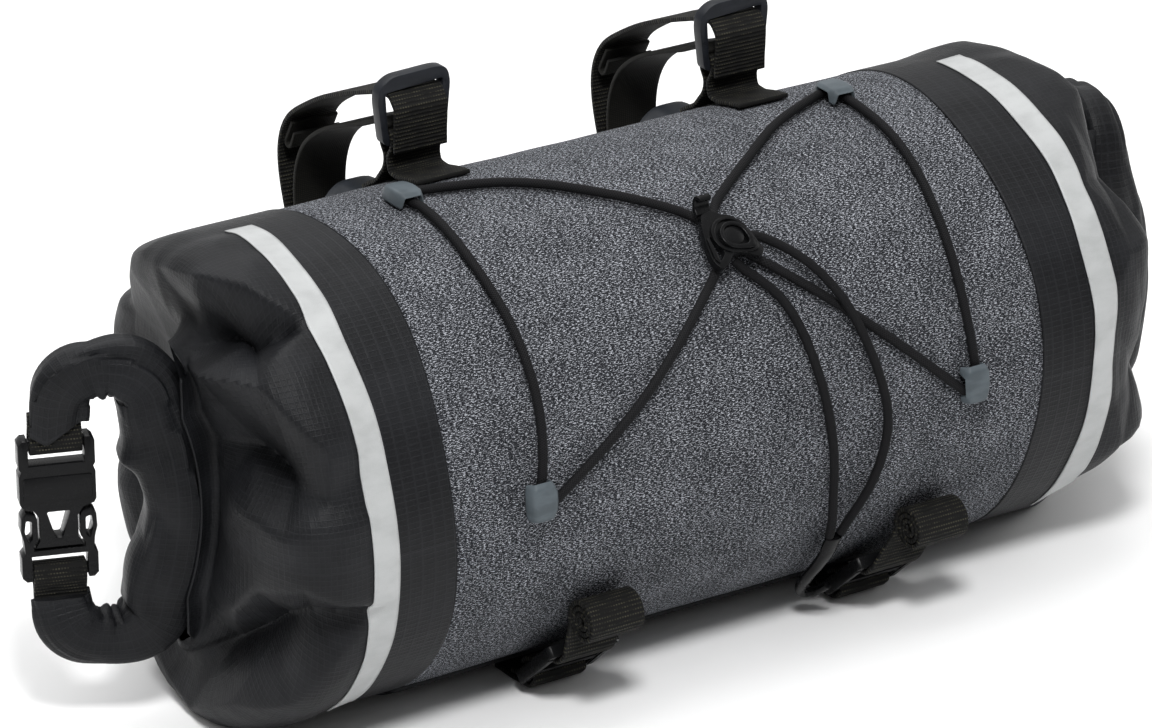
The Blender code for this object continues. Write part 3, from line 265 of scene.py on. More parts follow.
# Lower straps, one row for each side: name, lock X and roll X as shares of the panel half length
LOWER_STRAPS = (
    ("left", -0.523, -0.505),
    ("right", 0.545, 0.625),
)
LADDER_ANGLE = -47.5
LADDER_CLEARANCE = 0.0065
LADDER_WIDTH = 0.0305
LADDER_LENGTH = 0.030
LADDER_THICKNESS = 0.0045
LADDER_BAR = 0.0040
LADDER_FIRST_SLOT = 0.0065
LADDER_SIDE_GAP = 0.0008
STRAP_ROLL_ANGLE = -28.0
STRAP_ROLL_TURNS = 2.4
STRAP_ROLL_HEART = 0.85
STRAP_ROLL_PITCH = 0.0022
STRAP_ROLL_CORE = 0.0030
STRAP_ROLL_GAP = 0.0015
STRAP_ROLL_START = -20.0
STRAP_ROLL_PIECES = 24

# Each row is a point of a cord on the body: X as a share of the guide's X, angle
LEFT_LOOP_ROUTE = ((0.040, 53.0), (-0.020, 60.5), (-0.290, 73.0), (-0.600, 85.5), (-0.900, 94.0))
LEFT_LOOP_SIDE = ((-0.985, 84.0), (-0.975, 62.0), (-0.950, 42.0), (-0.950, 25.0), (-0.985, 10.0))
LEFT_LOOP_RETURN = ((-0.900, 0.5), (-0.480, 22.0), (-0.060, 43.0), (0.000, 46.5))
RIGHT_LOOP_ROUTE = ((0.080, 55.0), (0.110, 61.0), (0.400, 73.0), (0.650, 83.0), (0.910, 94.0))
RIGHT_LOOP_SIDE = ((1.015, 84.0), (1.030, 65.0), (1.010, 43.0), (1.000, 25.0), (1.010, 10.0))
RIGHT_LOOP_RETURN = ((0.910, 1.0), (0.600, 22.0), (0.210, 43.0), (0.130, 47.5))

# Each row is a point of a cord's free end: X as a share of the guide's X, angle, lift
TAIL_FRONT_ROUTE = (
    (0.120, 51.5, 0.0000),
    (0.190, 51.0, 0.0006),
    (0.260, 47.5, 0.0020),
    (0.350, 41.0, 0.0036),
    (0.440, 31.5, 0.0041),
    (0.520, 18.0, 0.0030),
    (0.575, 4.0, 0.0020),
    (0.565, -6.0, 0.0014),
    (0.520, -15.5, 0.0014),
    (0.462, -22.5, 0.0020),
    (0.432, -27.0, 0.0026),
)
TAIL_REAR_ROUTE = (
    (0.066, 46.3, 0.0000),
    (0.095, 43.5, 0.0000),
    (0.170, 38.0, 0.0004),
    (0.225, 31.0, 0.0010),
    (0.275, 17.0, 0.0016),
    (0.320, 0.0, 0.0016),
    (0.347, -14.0, 0.0016),
    (0.372, -22.0, 0.0020),
    (0.380, -27.0, 0.0026),
)

# Each row is a point of the hook on the cord ends: X as a share of the guide's X, angle, lift,
# thickness as a share of the cord's
HOOK_ROUTE = (
    (0.406, -27.55, 0.0026, 2.10),
    (0.406, -31.0, 0.0028, 2.10),
    (0.408, -33.5, 0.0030, 2.00),
    (0.404, -38.0, 0.0030, 1.80),
    (0.398, -44.0, 0.0034, 1.60),
    (0.410, -49.5, 0.0044, 1.25),
    (0.445, -52.5, 0.0058, 1.10),
    (0.482, -51.0, 0.0070, 1.05),
    (0.498, -46.5, 0.0076, 0.85),
)

# Stage; the surround's range is the cosine to its aim where it is dimmest and brightest, and
# the dimmest strength
SENSOR_WIDTH = 36.0
FLOOR_HALF_SIZE = 6.0
CAMERA_PLACE = (-1.1103, -1.6844, 0.9788)
CAMERA_AIM = (0.4972, 0.7685, -0.4027)

# Each row is a light: name, place, size, share of the stage's light power
LIGHTS = (
    ("Overhead", (-0.1, 0.9, 2.4), 2.4, 1.0),
    ("Key", (-0.5, -0.9, 1.5), 0.35, 0.50),
    ("Side", (1.7, -0.5, 1.1), 0.9, 0.12),
)
LIGHT_TARGET = (0.0, 0.0, 0.08)
SURROUND_AIM = (0.10, 0.42, 0.90)
SURROUND_RANGE = (-0.35, 0.95, 0.08)


# Settings


def length_setting(name, description, value, low, high):
    return bpy.props.FloatProperty(
        name=name, description=description, default=value, min=low, max=high,
        subtype="DISTANCE", unit="LENGTH")


def colour_setting(name, description, value):
    return bpy.props.FloatVectorProperty(
        name=name, description=description, default=value, size=3, min=0.0, max=1.0,
        subtype="COLOR")


class BagSettings(bpy.types.PropertyGroup):
    """Sizes and colours of the bag's finish."""

    cloth_thickness: length_setting(
        "Cloth thickness", "Wall of the coated cloth", 0.0010, 0.0004, 0.002)
    wrinkle_depth: length_setting(
        "Wrinkle depth", "Height of the small wrinkles in the ends", 0.0008, 0.0, 0.004)
    rib_pitch: length_setting(
        "Rib pitch", "Distance between the ribs of the webbing", 0.0015, 0.0008, 0.004)
    grid_pitch: length_setting(
        "Grid pitch", "Distance between the thicker threads of the coated cloth",
        0.0021, 0.001, 0.01)
    heather: colour_setting("Heather", "Middle grey of the front panel", (0.022, 0.0235, 0.0275))
    heather_dark: colour_setting(
        "Dark fleck", "Dark threads of the front panel", (0.005, 0.0055, 0.007))
    heather_light: colour_setting(
        "Light fleck", "Light threads of the front panel", (0.42, 0.435, 0.475))
    coated: colour_setting(
        "Coated cloth", "Colour of the ends and the underside", (0.0080, 0.0084, 0.0096))
    tape: colour_setting(
        "Reflective tape", "Colour of the strips round the ends", (0.42, 0.43, 0.43))
    webbing: colour_setting("Webbing", "Ground colour of the straps", (0.0062, 0.0062, 0.0060))
    # Painted highlight: the olive light on the tops of the webbing's ribs, painted into its colour
    rib_light: colour_setting(
        "Rib highlight", "Colour of the thread on top of a rib", (0.070, 0.066, 0.045))
    moulding: colour_setting(
        "Mouldings", "Colour of buckles, locks and hooks", (0.0040, 0.0041, 0.0045))
    ring: colour_setting("Rings", "Colour of the handlebar rings", (0.013, 0.0145, 0.018))
    guide: colour_setting("Cord guides", "Colour of the four cord guides", (0.066, 0.079, 0.088))
    elastic: colour_setting("Elastic", "Colour of the cord", (0.0042, 0.0042, 0.0046))
    rubber: colour_setting("Spacers", "Colour of the spacer pads", (0.014, 0.017, 0.022))


class StageSettings(bpy.types.PropertyGroup):
    """Floor, light and camera."""

    floor: colour_setting("Floor", "Colour of the floor", (0.95, 0.95, 0.95))
    surround: bpy.props.FloatProperty(
        name="Surround", description="Strength of the light from all sides", default=0.76, min=0.0)
    key_power: bpy.props.FloatProperty(
        name="Light power", description="Power of the overhead light, of which others have a share",
        default=42.0, min=0.0, subtype="POWER", unit="POWER")
    lens: bpy.props.FloatProperty(
        name="Lens", description="Focal length of the camera",
        default=184.2, min=10.0, subtype="DISTANCE_CAMERA", unit="CAMERA")


def settings():
    return bpy.context.scene.bag_settings


# Shader nodes


class Signal:
    """A shader socket that can be used in a sum."""

    def __init__(self, nodes, socket):
        self.nodes = nodes
        self.socket = socket

    def __add__(self, other):
        return self.nodes.math("ADD", self, other)

    def __radd__(self, other):
        return self.nodes.math("ADD", other, self)

    def __sub__(self, other):
        return self.nodes.math("SUBTRACT", self, other)

    def __rsub__(self, other):
        return self.nodes.math("SUBTRACT", other, self)

    def __mul__(self, other):
        return self.nodes.math("MULTIPLY", self, other)

    def __rmul__(self, other):
        return self.nodes.math("MULTIPLY", other, self)

    def __pow__(self, other):
        return self.nodes.math("POWER", self, other)

    def __rpow__(self, other):
        return self.nodes.math("POWER", other, self)

    def wave(self):
        """A sine of the value, from 0 to 1."""
        return self.nodes.math("SINE", self) * 0.5 + 0.5

    def clamped(self):
        return self.nodes.node("ShaderNodeClamp", {}, {"Value": self})


class Nodes:
    """A node tree and the nodes that are used in it."""

    def __init__(self, tree):
        self.tree = tree

    def connect(self, socket, value):
        if isinstance(value, Signal):
            self.tree.links.new(value.socket, socket)
        elif hasattr(value, "__len__") and socket.type == "RGBA" and len(value) == 3:
            socket.default_value = (*value, 1.0)
        else:
            socket.default_value = value

    def node(self, kind, choices, sockets, output=0):
        """Add a node of a kind, with its choices and then its sockets, and return an output."""
        item = self.tree.nodes.new(kind)
        for key, value in choices.items():
            if key == "stops":
                self.set_stops(item.color_ramp, value)
            else:
                setattr(item, key, value)
        for key, value in sockets.items():
            self.connect(item.inputs[key], value)
        return Signal(self, item.outputs[output])

    def math(self, operation, *values):
        """A Math node on signals and numbers."""
        return self.node("ShaderNodeMath", {"operation": operation}, dict(enumerate(values)))

    def set_stops(self, ramp, stops):
        while len(ramp.elements) < len(stops):
            ramp.elements.new(1.0)
        for element, (place, tone) in zip(ramp.elements, stops):
            element.position = place
            element.color = (*tone, 1.0)

    def uv(self):
        """The piece's own UV map, which is in metres."""
        return self.node("ShaderNodeTexCoord", {}, {}, "UV")

    def place(self):
        return self.node("ShaderNodeTexCoord", {}, {}, "Object")

    def scaled(self, vector, scale):
        return self.node("ShaderNodeVectorMath", {"operation": "MULTIPLY"}, {0: vector, 1: scale})

    def parts(self, vector):
        item = self.node("ShaderNodeSeparateXYZ", {}, {0: vector})
        outputs = item.socket.node.outputs
        return [Signal(self, outputs[k]) for k in range(3)]

    def grain(self, vector, scale, detail, roughness):
        sockets = {"Vector": vector, "Scale": scale, "Detail": detail, "Roughness": roughness}
        return self.node("ShaderNodeTexNoise", {}, sockets)

    def ramp(self, value, *stops):
        return self.node("ShaderNodeValToRGB", {"stops": stops}, {0: value})

    def level(self, value, low, high, bottom=0.0):
        """The bottom value below low, 1 above high, smooth between."""
        sockets = {"Value": value, "From Min": low, "From Max": high, "To Min": bottom}
        return self.node("ShaderNodeMapRange", {"interpolation_type": "SMOOTHSTEP"}, sockets)

    def mixed(self, share, first, second):
        choices = {"data_type": "RGBA"}
        return self.node("ShaderNodeMix", choices, {0: share, 6: first, 7: second}, 2)

    def bump(self, height, distance, strength=1.0, under=None):
        sockets = {"Height": height, "Distance": distance, "Strength": strength}
        if under is not None:
            sockets["Normal"] = under
        return self.node("ShaderNodeBump", {}, sockets)


class Finish(Nodes):
    """A material and the nodes of its pattern."""

    def __init__(self, name, roughness, specular):
        self.material = bpy.data.materials.new(name)
        self.material.use_nodes = True
        super().__init__(self.material.node_tree)
        self.shader = self.tree.nodes["Principled BSDF"]
        self.shader.inputs["Roughness"].default_value = roughness
        self.shader.inputs["Specular IOR Level"].default_value = specular

    def wear(self, **sockets):
        """Feed the shader's colour, roughness or normal, and return the material."""
        names = {"colour": "Base Color", "roughness": "Roughness", "normal": "Normal"}
        for key, value in sockets.items():
            self.connect(self.shader.inputs[names[key]], value)
        return self.material


# Finishes


def made(maker):
    """A maker's material, made the first time that it is asked for."""
    return bpy.data.materials.get(maker.__name__) or maker(maker.__name__)


def shaded(tone, share):
    """A colour, darker or lighter by a factor."""
    return tuple(share * value for value in tone)


def heather_cloth(name):
    """Grey melange of dark and light threads, most of them lying along the bag."""
    tone = settings()
    f = Finish(name, 0.92, 0.12)
    uv = f.uv()
    along = f.grain(f.scaled(uv, (760.0, 2900.0, 1.0)), 1.0, 2.0, 0.60)
    across = f.grain(f.scaled(uv, (2100.0, 2600.0, 1.0)), 1.0, 1.0, 0.5)
    cloud = f.grain(f.scaled(uv, (60.0, 60.0, 1.0)), 1.0, 2.0, 0.5)
    threads = along * 0.66 + across * 0.34 + (cloud - 0.5) * 0.05
    colour = f.ramp(
        threads, (0.41, tone.heather_dark), (0.475, tone.heather), (0.530, tone.heather),
        (0.60, tone.heather_light))
    x, y, _ = f.parts(uv)
    weave = (x * (math.tau / 0.0007)).wave() * (y * (math.tau / 0.0007)).wave()
    normal = f.bump(threads * 0.7 + weave * 0.3, 0.00025, 0.8)
    return f.wear(colour=colour, normal=normal)


def coated_cloth(name):
    """Black coated cloth with a fine grid of thicker threads and a slight gloss."""
    tone = settings()
    f = Finish(name, 0.50, 0.15)
    uv = f.uv()
    x, y, _ = f.parts(uv)
    lines = (x * (math.tau / tone.grid_pitch)).wave() ** 10.0
    rows = (y * (math.tau / tone.grid_pitch)).wave() ** 10.0
    grid = (lines + rows).clamped()
    fine = (x * (math.tau / 0.00052)).wave() * (y * (math.tau / 0.00052)).wave()
    cloud = f.grain(f.scaled(uv, (28.0, 28.0, 1.0)), 1.0, 3.0, 0.6)
    speck = f.grain(f.scaled(uv, (1500.0, 1500.0, 1.0)), 1.0, 1.0, 0.5)
    ground = f.mixed(
        f.level(cloud, 0.35, 0.68), shaded(tone.coated, 0.72), shaded(tone.coated, 1.45))
    colour = f.mixed(grid * 0.33 + (speck - 0.5) * 0.7, ground, shaded(tone.coated, 2.4))
    roughness = 0.36 + cloud * 0.12 + speck * 0.08
    creases = f.grain(f.scaled(uv, (70.0, 120.0, 1.0)), 1.0, 4.0, 0.55)
    soft = f.bump(creases, 0.0022, 0.35)
    normal = f.bump(grid * 0.6 + fine * 0.4, 0.00014, 0.85, soft)
    return f.wear(colour=colour, roughness=roughness, normal=normal)


def reflective_tape(name):
    """Pale reflective tape of tiny glass beads, slightly creased."""
    tone = settings()
    f = Finish(name, 0.42, 0.5)
    uv = f.uv()
    beads = f.grain(f.scaled(uv, (3200.0, 3200.0, 1.0)), 1.0, 1.0, 0.5)
    cloud = f.grain(f.scaled(uv, (50.0, 90.0, 1.0)), 1.0, 3.0, 0.6)
    shade = shaded(tone.tape, 0.80)
    colour = f.mixed(f.level(cloud * 0.7 + beads * 0.3, 0.32, 0.62), shade, tone.tape)
    normal = f.bump(beads, 0.00004, 0.5, f.bump(cloud, 0.0008, 0.35))
    return f.wear(colour=colour, roughness=0.36 + cloud * 0.16, normal=normal)


def ribbed_webbing(name):
    """Black ribbed webbing, with a painted olive highlight on the tops of the ribs."""
    tone = settings()
    f = Finish(name, 0.78, 0.14)
    x, y, _ = f.parts(f.uv())
    rib = (y * (math.tau / tone.rib_pitch)).wave()
    row = f.math("FLOOR", y * (1.0 / tone.rib_pitch))
    dash = (x * (math.tau / 0.0011) + row * 2.2).wave()
    highlight_patches = f.grain(f.scaled(f.uv(), (160.0, 260.0, 1.0)), 1.0, 2.0, 0.6)
    crown = f.level(rib, 0.62, 0.98)
    # Painted highlight: the rib crowns are painted olive in noise patches, standing in for light
    # that they catch
    light = crown * f.level(dash, 0.25, 0.75) * f.level(highlight_patches, 0.36, 0.66)
    colour = f.mixed(light * 0.90, tone.webbing, tone.rib_light)
    edge = f.level(f.math("ABSOLUTE", x), 0.0, 0.0012)
    normal = f.bump(rib * 0.75 + dash * crown * 0.25, 0.00032, 0.9)
    return f.wear(colour=colour, roughness=0.62 + edge * 0.16, normal=normal)


def flat_webbing(name):
    """Flat-woven black strap with a fine grain across it, and a faint painted highlight on the tops
    of its weave.
    """
    tone = settings()
    f = Finish(name, 0.70, 0.14)
    x, y, _ = f.parts(f.uv())
    rib = (y * (math.tau / 0.0008)).wave()
    dash = (x * (math.tau / 0.0009)).wave()
    highlight_patches = f.grain(f.scaled(f.uv(), (120.0, 200.0, 1.0)), 1.0, 3.0, 0.6)
    # Painted highlight: the tops of the weave, in noise patches, take a dimmed copy of the rib
    # highlight
    colour = f.mixed(rib * dash * highlight_patches, tone.webbing, shaded(tone.rib_light, 0.42))
    return f.wear(colour=colour, normal=f.bump(rib * 0.6 + dash * 0.4, 0.00016, 0.7))


def braided_elastic(name):
    """Braided elastic: two sets of threads that wind round the cord, with a painted highlight on
    the tops of the braid.
    """
    tone = settings()
    f = Finish(name, 0.66, 0.08)
    x, y, _ = f.parts(f.uv())
    first = ((x * 420.0 + y * 8.0) * math.tau).wave()
    second = ((x * 420.0 - y * 8.0) * math.tau).wave()
    braid = f.math("MAXIMUM", first, second)
    # Painted highlight: the tops of the braid are painted three times lighter than the cord
    colour = f.mixed(f.level(braid, 0.55, 1.0), tone.elastic, shaded(tone.elastic, 3.0))
    return f.wear(colour=colour, normal=f.bump(braid, 0.00014, 0.8))


def gloss_moulding(name):
    return plastic(name, settings().moulding, 0.26, 0.16)


def ring_moulding(name):
    return plastic(name, settings().ring, 0.30, 0.14)


def guide_moulding(name):
    return plastic(name, settings().guide, 0.38, 0.10)


def plastic(name, tone, roughness, marks):
    """Moulded plastic with faint flow marks and handling marks."""
    f = Finish(name, roughness, 0.12)
    place = f.place()
    flow = f.grain(f.scaled(place, (90.0, 90.0, 220.0)), 1.0, 3.0, 0.6)
    fine = f.grain(place, 1800.0, 2.0, 0.5)
    colour = f.mixed(f.level(flow, 0.35, 0.70), tone, shaded(tone, 1.35))
    rough = roughness + (flow - 0.5) * marks + (fine - 0.5) * 0.08
    normal = f.bump(fine, 0.00003, 0.4, f.bump(flow, 0.0004, 0.12))
    return f.wear(colour=colour, roughness=rough, normal=normal)


def spacer_rubber(name):
    """Smooth blue-black rubber with a dull bloom."""
    tone = settings()
    f = Finish(name, 0.55, 0.4)
    place = f.place()
    bloom = f.grain(place, 120.0, 3.0, 0.6)
    fine = f.grain(place, 2600.0, 1.0, 0.5)
    colour = f.mixed(f.level(bloom, 0.35, 0.7), tone.rubber, shaded(tone.rubber, 1.5))
    return f.wear(colour=colour, roughness=0.46 + bloom * 0.2, normal=f.bump(fine, 0.00005, 0.5))


def stage_floor(name):
    f = Finish(name, 0.85, 0.1)
    cloud = f.grain(f.place(), 3.0, 2.0, 0.5)
    tone = bpy.context.scene.bag_stage.floor
    return f.wear(colour=f.mixed(cloud, shaded(tone, 0.985), tuple(tone)))


# Places on the bag


def around(angle, radius, x=0.0):
    """The point at an angle and distance round the body's axis."""
    turn = math.radians(angle)
    return Vector((x, -radius * math.cos(turn), AXIS_HEIGHT + radius * math.sin(turn)))


def frame_matrix(origin, right, up):
    """The matrix of a frame from its origin, its right and its up."""
    normal = right.cross(up)
    rows = [(right[k], up[k], normal[k], origin[k]) for k in range(3)]
    return Matrix((*rows, (0.0, 0.0, 0.0, 1.0)))


def axis_of(matrix, k):
    """The direction of a frame's right, up or normal."""
    return Vector((matrix[0][k], matrix[1][k], matrix[2][k]))


def body_frame(x, angle, radius):
    """A frame on the body: right along X, up round the body, normal outwards."""
    turn = math.radians(angle)
    up = Vector((0.0, math.sin(turn), math.cos(turn)))
    return frame_matrix(around(angle, radius, x), Vector((1.0, 0.0, 0.0)), up)


def side_frame(x):
    """A frame across the body: right to the back, up, normal along X."""
    origin = Vector((x, 0.0, AXIS_HEIGHT))
    return frame_matrix(origin, Vector((0.0, 1.0, 0.0)), Vector((0.0, 0.0, 1.0)))


def curve_between(before, start, end, after, t):
    """A value on the smooth curve from start to end."""
    return 0.5 * (2.0 * start + (end - before) * t
                  + (2.0 * before - 5.0 * start + 4.0 * end - after) * t * t
                  + (3.0 * start - before - 3.0 * end + after) * t ** 3)


def smooth_route(points, step):
    """Points no further apart than step on a smooth curve through the given points."""
    route = [Vector(point) for point in points]
    route = [2.0 * route[0] - route[1], *route, 2.0 * route[-1] - route[-2]]
    result = []
    for i in range(1, len(route) - 2):
        pieces = max(1, math.ceil((route[i + 1] - route[i]).length / step))
        for k in range(pieces):
            result.append(curve_between(*route[i - 1:i + 3], k / pieces))
    result.append(route[-2])
    return result


def cut_corner(before, point, after, reach, pieces):
    """Points of a curve that cuts a corner from a reach on either side of it."""
    start = point + (before - point).normalized() * reach[0]
    end = point + (after - point).normalized() * reach[1]
    for k in range(pieces + 1):
        t = k / pieces
        yield start * (1 - t) ** 2 + point * 2 * t * (1 - t) + end * t * t


def rounded_route(points, reach):
    """The points of a path with each corner rounded from a reach on either side."""
    path = [Vector(point) for point in points]
    result = [path[0]]
    for before, point, after in zip(path, path[1:], path[2:]):
        sides = [min(reach, 0.49 * (other - point).length) for other in (before, after)]
        result.extend(cut_corner(before, point, after, sides, 5))
    result.append(path[-1])
    return result


def evenly(path, count):
    """A path's points again, evenly spaced, with the length of the path."""
    lengths = [0.0]
    for first, second in zip(path, path[1:]):
        lengths.append(lengths[-1] + (second - first).length)
    total = lengths[-1]
    result = []
    i = 0
    for k in range(count + 1):
        want = total * k / count
        while i < len(path) - 2 and lengths[i + 1] < want:
            i += 1
        span = lengths[i + 1] - lengths[i]
        t = (want - lengths[i]) / span if span > 0.0 else 0.0
        result.append(path[i].lerp(path[i + 1], min(1.0, max(0.0, t))))
    return result, total


def seam_x(angle):
    """Half length of the panels at an angle, with the seam's slight wave."""
    return PANEL_HALF_LENGTH + SEAM_WAVE * math.sin(math.radians(4.0 * angle + 20.0))


def smooth_share(value, low, high):
    """0 below low, 1 above high, smooth between."""
    t = min(1.0, max(0.0, (value - low) / (high - low)))
    return t * t * (3.0 - 2.0 * t)


def bump_at(value, centre, width):
    """1 at the centre, falling off to both sides over a width."""
    return math.exp(-(((value - centre) / width) ** 2))


# Pieces


def slot_of(node):
    """The record's material slot of a node."""
    for row in frame["record"]["subparts"]:
        if row["node"] == node:
            return row["material_slot"]
    raise RuntimeError("no slot for " + node)


def add_piece(name, bm, maker, node, smooth=45.0):
    """Link a shape as the piece of the bag that stands for a node."""
    mesh = mesh_from(bm)
    mesh.name = name
    mesh.materials.append(made(maker))
    mesh.shade_smooth()
    mesh.set_sharp_from_angle(angle=math.radians(smooth))
    return enlist(bpy.data.objects.new(name, mesh), node)


def enlist(item, node):
    """Link an object, hang it from the root and hide the node that it stands for."""
    bpy.context.collection.objects.link(item)
    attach(item, "root")
    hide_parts(node)
    slot_of(node)
    return item


def thicken(item, thickness, offset=-1.0):
    """Give a sheet its wall, inside it at an offset of -1 and to both sides at 0."""
    wall = item.modifiers.new("Wall", "SOLIDIFY")
    wall.thickness = thickness
    wall.offset = offset
    wall.use_even_offset = True


def round_edges(item, width, segments):
    """Round a finished piece's sharp edges."""
    edge = item.modifiers.new("Edge", "BEVEL")
    edge.width = width
    edge.segments = segments
    edge.limit_method = "ANGLE"
    edge.angle_limit = math.radians(60.0)


def mesh_from(bm):
    """A mesh with a shape's faces; the shape is freed."""
    mesh = bpy.data.meshes.new("piece")
    bm.to_mesh(mesh)
    bm.free()
    return mesh


def face_away(bm, inside):
    """Turn a skin's faces away from the inside, which is a point for each place."""
    total = 0.0
    for face in bm.faces:
        middle = face.calc_center_median()
        total += face.normal.dot(middle - inside(middle)) * face.calc_area()
    if total < 0.0:
        bmesh.ops.reverse_faces(bm, faces=bm.faces)


def from_axis(point):
    """The point of the body's axis beside a place."""
    return Vector((point.x, 0.0, AXIS_HEIGHT))


def cloth_grid(columns, rows, place, size, inside=None):
    """A grid bent into place, with a UV map in metres; closed seams are merged."""
    bm = bmesh.new()
    bm.loops.layers.uv.new("UVMap")
    bmesh.ops.create_grid(bm, x_segments=columns, y_segments=rows, size=0.5, calc_uvs=True)
    layer = bm.loops.layers.uv.active
    for face in bm.faces:
        for loop in face.loops:
            share = loop.vert.co
            loop[layer].uv = ((share.x + 0.5) * size[0], (share.y + 0.5) * size[1])
    for vert in bm.verts:
        vert.co = place(min(1.0, vert.co.x + 0.5), min(1.0, vert.co.y + 0.5))
    bmesh.ops.remove_doubles(bm, verts=bm.verts, dist=0.000002)
    bm.normal_update()
    if inside:
        face_away(bm, inside)
    return bm


def band(name, points, width, thickness, matrix, maker, node, drift=None, bend=0.0015):
    """A woven band along a path in a frame's plane, as wide as asked along its normal."""
    drift = drift or [0.0] * len(points)
    path = [Vector((point[0], point[1], shift)) for point, shift in zip(points, drift)]
    rough = rounded_route(path, bend)
    length = sum((b - a).length for a, b in zip(rough, rough[1:]))
    count = max(12, round(length / WEBBING_STEP))
    path, length = evenly(rough, count)

    def place(u, v):
        point = path[round(v * count)]
        return matrix @ Vector((point.x, point.y, point.z + (u - 0.5) * width))

    bm = cloth_grid(WEBBING_COLUMNS, count, place, (width, length))
    item = add_piece(name, bm, maker, node, 60.0)
    thicken(item, thickness, 0.0)
    round_edges(item, thickness * 0.28, 2)


def strap(name, points, x, node, maker=ribbed_webbing, drift=None):
    """A band of the bag's webbing in a plane across the body."""
    band(name, points, WEBBING_WIDTH, WEBBING_THICKNESS, side_frame(x), maker, node, drift)


def round_sharp(bm, angle, width, segments):
    """Round the edges of a shape that are sharper than an angle."""
    sharp = [edge for edge in bm.edges if edge.calc_face_angle(0.0) > math.radians(angle)]
    bmesh.ops.bevel(bm, geom=sharp, offset=width, offset_type="OFFSET", segments=segments,
                    profile=0.5, affect="EDGES", clamp_overlap=True, material=-1)


def plate(outline, windows, low, high, matrix, edge, segments=2):
    """A flat moulding between two heights in a frame, with windows and rounded edges."""
    bm = bmesh.new()
    rim = []
    for loop in (outline, *windows):
        verts = [bm.verts.new((point[0], point[1], low)) for point in loop]
        rim.extend(bm.edges.new(pair) for pair in zip(verts, verts[1:] + verts[:1]))
    bmesh.ops.triangle_fill(bm, use_beauty=True, edges=rim)
    bmesh.ops.dissolve_limit(bm, angle_limit=0.02, verts=bm.verts, edges=bm.edges)
    grown = bmesh.ops.extrude_face_region(bm, geom=bm.faces[:], use_keep_orig=True)
    top = [item for item in grown["geom"] if isinstance(item, bmesh.types.BMVert)]
    bmesh.ops.translate(bm, verts=top, vec=(0.0, 0.0, high - low))
    bmesh.ops.recalc_face_normals(bm, faces=bm.faces)
    round_sharp(bm, 20.0, edge, segments)
    bmesh.ops.transform(bm, matrix=matrix, verts=bm.verts)
    bmesh.ops.recalc_face_normals(bm, faces=bm.faces)
    return bm


def joined(*parts):
    """One bmesh from several, kept as separate shells."""
    bm = parts[0]
    for part in parts[1:]:
        mesh = mesh_from(part)
        bm.from_mesh(mesh)
        bpy.data.meshes.remove(mesh)
    return bm


def oval(x, y, across, along, count):
    """Points of an ellipse about a centre."""
    turns = [math.tau * (k + 0.5) / count for k in range(count)]
    return [(x + across * math.cos(turn), y + along * math.sin(turn)) for turn in turns]


def squared(turn, power):
    """Cosine and sine of a turn, raised to a power that squares the circle."""
    pair = math.cos(turn), math.sin(turn)
    return [math.copysign(abs(value) ** power, value) for value in pair]


def pillow(columns, rows, roundness, place):
    """Two skins over a rounded square, joined at the rim; place puts each point in space."""
    bm = bmesh.new()
    bmesh.ops.create_grid(bm, x_segments=columns, y_segments=rows, size=1.0)
    grown = bmesh.ops.extrude_face_region(bm, geom=bm.faces[:], use_keep_orig=True)
    upper = {item for item in grown["geom"] if isinstance(item, bmesh.types.BMVert)}
    for vert in bm.verts:
        a, b = vert.co.x, vert.co.y
        radius = max(abs(a), abs(b))
        if radius > 0.0:
            stretch = radius / (abs(a) ** roundness + abs(b) ** roundness) ** (1.0 / roundness)
            a, b = a * stretch, b * stretch
        vert.co = place(a, b, radius, vert in upper)
    bmesh.ops.recalc_face_normals(bm, faces=bm.faces)
    return bm


def soft_corners(points, reach):
    """A closed outline with its corners rounded."""
    path = [Vector(point) for point in points]
    result = []
    for i, point in enumerate(path):
        before = path[i - 1]
        after = path[(i + 1) % len(path)]
        sides = [min(reach, 0.45 * (other - point).length) for other in (before, after)]
        result.extend(tuple(spot) for spot in cut_corner(before, point, after, sides, 4))
    return result


def mirrored(points):
    """An outline's right half with its mirror image."""
    return [*points, *[(-x, y) for x, y in reversed(points)]]


def tube_through(points, sizes, count):
    """A closed smooth bar through points on the body, with its half sizes at each."""
    bm = bmesh.new()
    rings = []
    last = len(points) - 1
    for i, point in enumerate(points):
        along = (points[min(i + 1, last)] - points[max(i - 1, 0)]).normalized()
        side = along.cross(from_axis(point) - point).normalized()
        up = side.cross(along)
        wide, thick = sizes[i]
        rows = [(side[k] * wide, up[k] * thick, along[k], point[k]) for k in range(3)]
        circle = bmesh.ops.create_circle(
            bm, cap_ends=i in (0, last), segments=count, radius=1.0,
            matrix=Matrix((*rows, (0.0, 0.0, 0.0, 1.0))))
        rings.append(circle["verts"])
    for first, second in zip(rings, rings[1:]):
        edges = [edge for edge in bm.edges if len(edge.link_faces) < 2
                 and any(set(edge.verts) <= set(ring) for ring in (first, second))]
        bmesh.ops.bridge_loops(bm, edges=edges)
    bmesh.ops.recalc_face_normals(bm, faces=bm.faces)
    return bm


# Body


def wobble(x, angle):
    """How far the body's cloth lies inside its round shape."""
    turn = math.radians(angle)
    spot = Vector((x * 16.0, math.cos(turn) * 1.6, math.sin(turn) * 1.6))
    broad = noise.noise(spot + Vector((3.1, 0.0, 0.0)))
    small = noise.noise(spot * 3.1)
    return 0.0004 + 0.0005 * broad + 0.00018 * small


